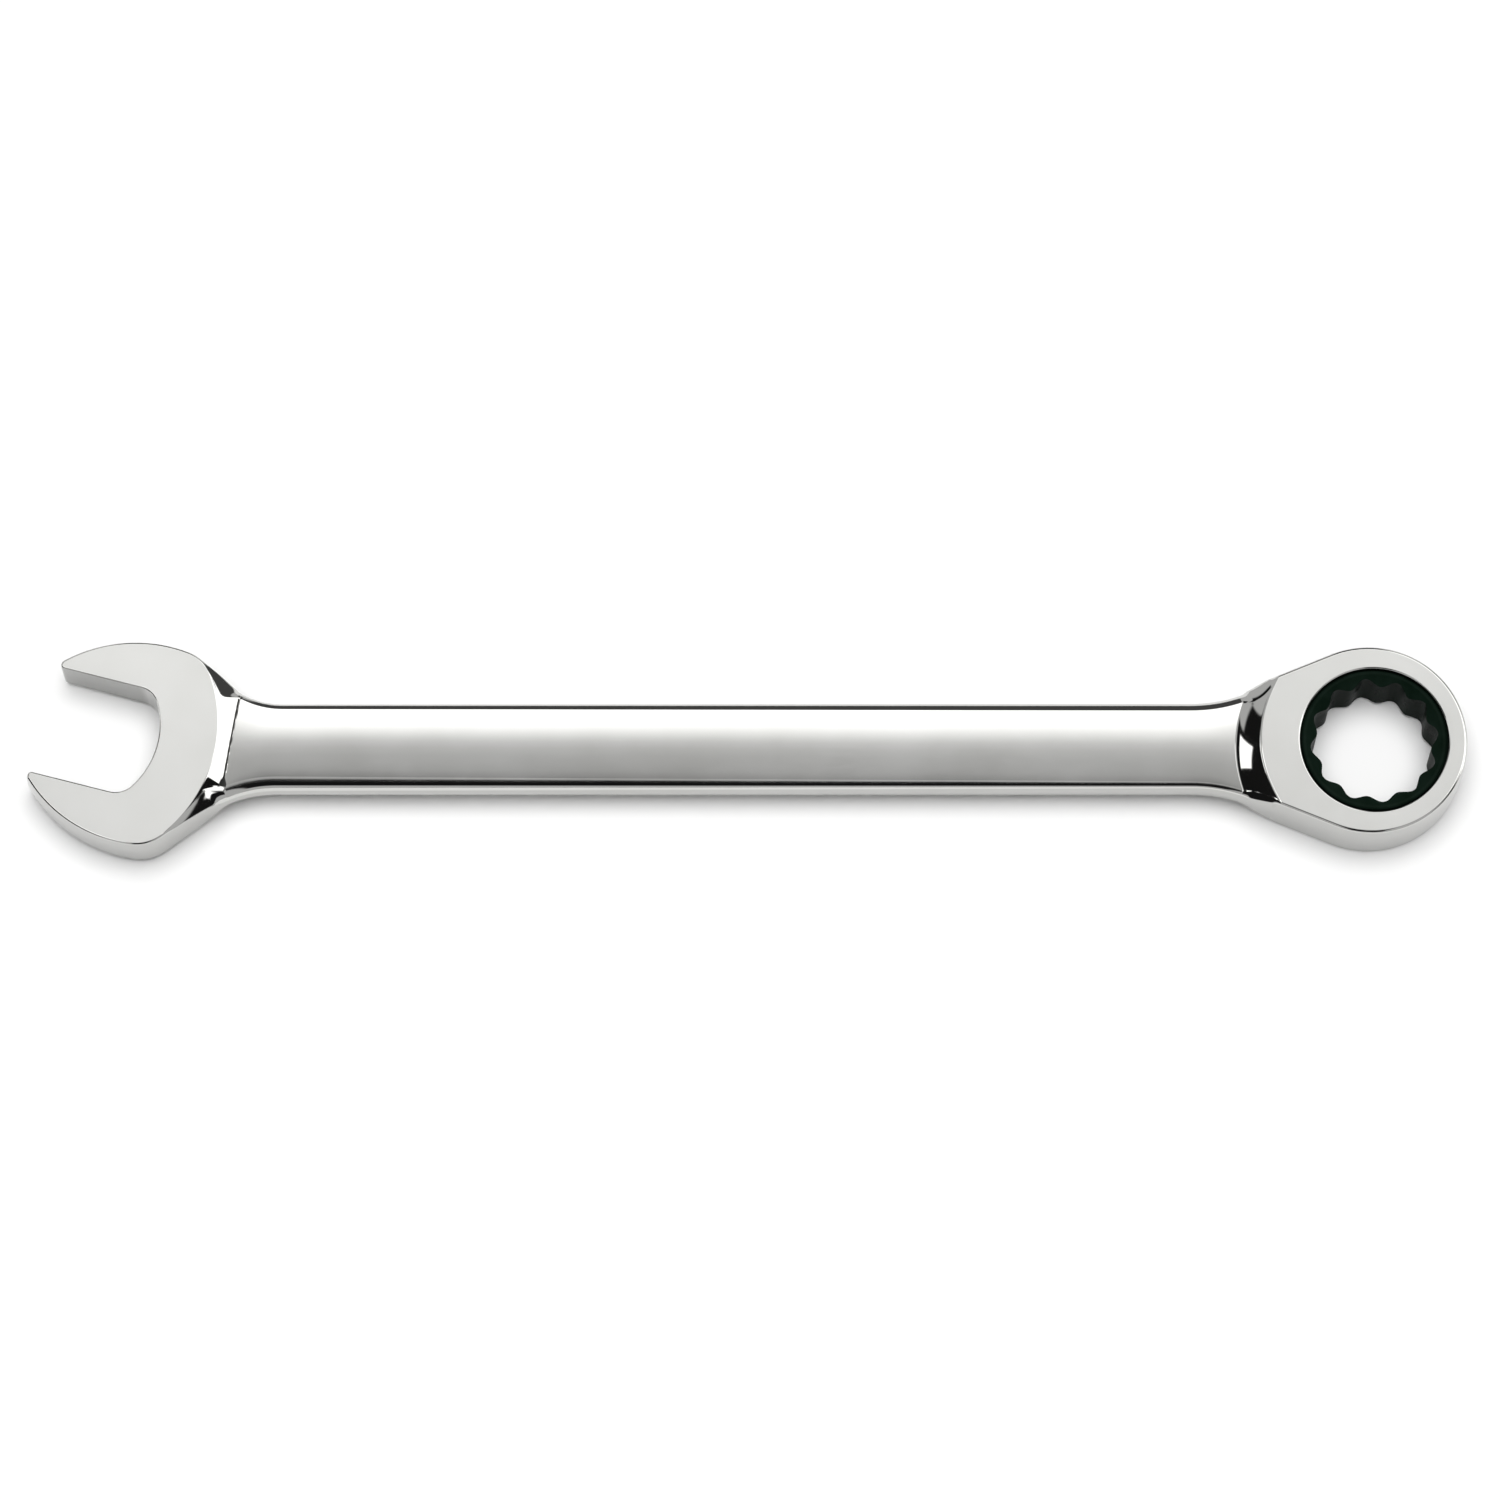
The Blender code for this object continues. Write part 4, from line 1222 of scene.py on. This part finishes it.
def studio_world():
    """Cards of light and dark for the steel to reflect; all else is plain pale light."""
    world = bpy.data.worlds.new("studio")
    bpy.context.scene.world = world
    world.use_nodes = True
    nodes, links = world.node_tree.nodes, world.node_tree.links
    nodes.clear()
    w = Maths(nodes, links)
    split = nodes.new("ShaderNodeSeparateXYZ")
    links.new(nodes.new("ShaderNodeTexCoord").outputs["Generated"], split.inputs[0])
    x, y, z = split.outputs
    w.tilt = w.math("DEGREES", w.math("ARCTAN2", y, z))
    w.side = w.math("DEGREES", w.math("ARCSINE", x))
    level = MIDDLE
    for card in FIRST_CARDS:
        level = w.panel(level, *card)
    level = w.panel(level, w.ramp(w.tilt, UPWARD), *UPWARD_LIMITS)
    for card in LAST_CARDS:
        level = w.panel(level, *card)
    path = nodes.new("ShaderNodeLightPath")
    lean = (y, math.sin(OVERHEAD_LEAN), w.math("MULTIPLY", z, math.cos(OVERHEAD_LEAN)))
    overhead = w.fade(w.math("MULTIPLY_ADD", *lean), *OVERHEAD_SPREAD)
    plain = w.mix(PALE, OVERHEAD, overhead)
    plain = w.mix(plain, BACKDROP, path.outputs["Is Camera Ray"])
    first = w.math("LESS_THAN", path.outputs["Diffuse Depth"], 0.5)
    seen = w.math("MULTIPLY", path.outputs["Is Glossy Ray"], first)
    level = w.mix(plain, level, seen)
    background = nodes.new("ShaderNodeBackground")
    output = nodes.new("ShaderNodeOutputWorld")
    links.new(level, background.inputs["Strength"])
    links.new(background.outputs[0], output.inputs["Surface"])


def floor():
    bm = bmesh.new()
    bmesh.ops.create_circle(bm, cap_ends=True, segments=64, radius=FLOOR_RADIUS)
    mesh = bpy.data.meshes.new("floor")
    bm.to_mesh(mesh)
    bm.free()
    obj = bpy.data.objects.new("floor", mesh)
    bpy.context.scene.collection.objects.link(obj)
    obj.location.z = cad_low.z - FLOOR_GAP
    mesh.materials.append(floor_material())


def camera():
    data = bpy.data.cameras.new("camera")
    data.sensor_width = SENSOR
    data.lens = LENS
    data.clip_start = 0.05
    data.clip_end = 30.0
    cam = bpy.data.objects.new("camera", data)
    bpy.context.scene.collection.objects.link(cam)
    target = Vector((CAMERA_AIM_X, 0.0, LIFT))
    cam.location = (0.0, -CAMERA_REACH * math.sin(CAMERA_TILT),
                    LIFT + CAMERA_REACH * math.cos(CAMERA_TILT))
    cam.rotation_euler = (target - cam.location).to_track_quat("-Z", "Y").to_euler()
    bpy.context.scene.camera = cam


# ---------------------------------------------------------------- the pieces

def bake(obj):
    """Apply all modifiers, so that the mesh is final."""
    bpy.context.view_layer.update()
    depsgraph = bpy.context.evaluated_depsgraph_get()
    mesh = bpy.data.meshes.new_from_object(obj.evaluated_get(depsgraph))
    obj.modifiers.clear()
    obj.data = mesh
    mesh.name = obj.name


def squash_spring(spring):
    """Give the coil its own copy of its mesh; its length stays as built."""
    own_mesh(spring)


def finish_piece(obj, mat, angle, body, node):
    bake(obj)
    shade(obj, angle)
    obj.data.materials.clear()
    obj.data.materials.append(mat)
    weigh = obj.modifiers.new("face_weights", "WEIGHTED_NORMAL")
    weigh.weight = 50
    weigh.keep_sharp = True
    obj.location.z += LIFT
    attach(obj, body)
    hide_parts(node)


def main():
    coll = bpy.data.collections.new("combination_wrench")
    bpy.context.scene.collection.children.link(coll)
    cutters = bpy.data.collections.new("cutters")
    bpy.context.scene.collection.children.link(cutters)
    body = build_body(coll, cutters)
    gear = build_gear(coll, cutters)
    pawl = build_pawl(coll)
    clip = build_clip(coll)
    spring = build_spring(coll)
    steel = steel_material("pawl_steel", (0.25, 0.25, 0.26), (0.4, 0.4, 0.41), 0.3, 1500.0)
    wire = steel_material("spring_wire", (0.4, 0.4, 0.41), (0.52, 0.52, 0.53), 0.25, 3000.0)
    dark = steel_material("clip_steel", (0.09, 0.09, 0.095), (0.15, 0.15, 0.16), 0.38, 1500.0)
    bpy.context.view_layer.update()
    finish_piece(body, chrome_material(), 28, "body", "wrench_body")
    finish_piece(gear, oxide_material(), 30, "gear", "ratchet_gear")
    finish_piece(pawl, steel, 30, "pawl_block", "pawl")
    finish_piece(clip, dark, 30, "body", "retaining_ring")
    finish_piece(spring, wire, 60, "body", "pawl_spring")
    squash_spring(spring)
    for cutter in list(cutters.objects):
        bpy.data.objects.remove(cutter, do_unlink=True)
    bpy.context.scene.view_settings.view_transform = "Standard"
    floor()
    studio_world()
    camera()


main()
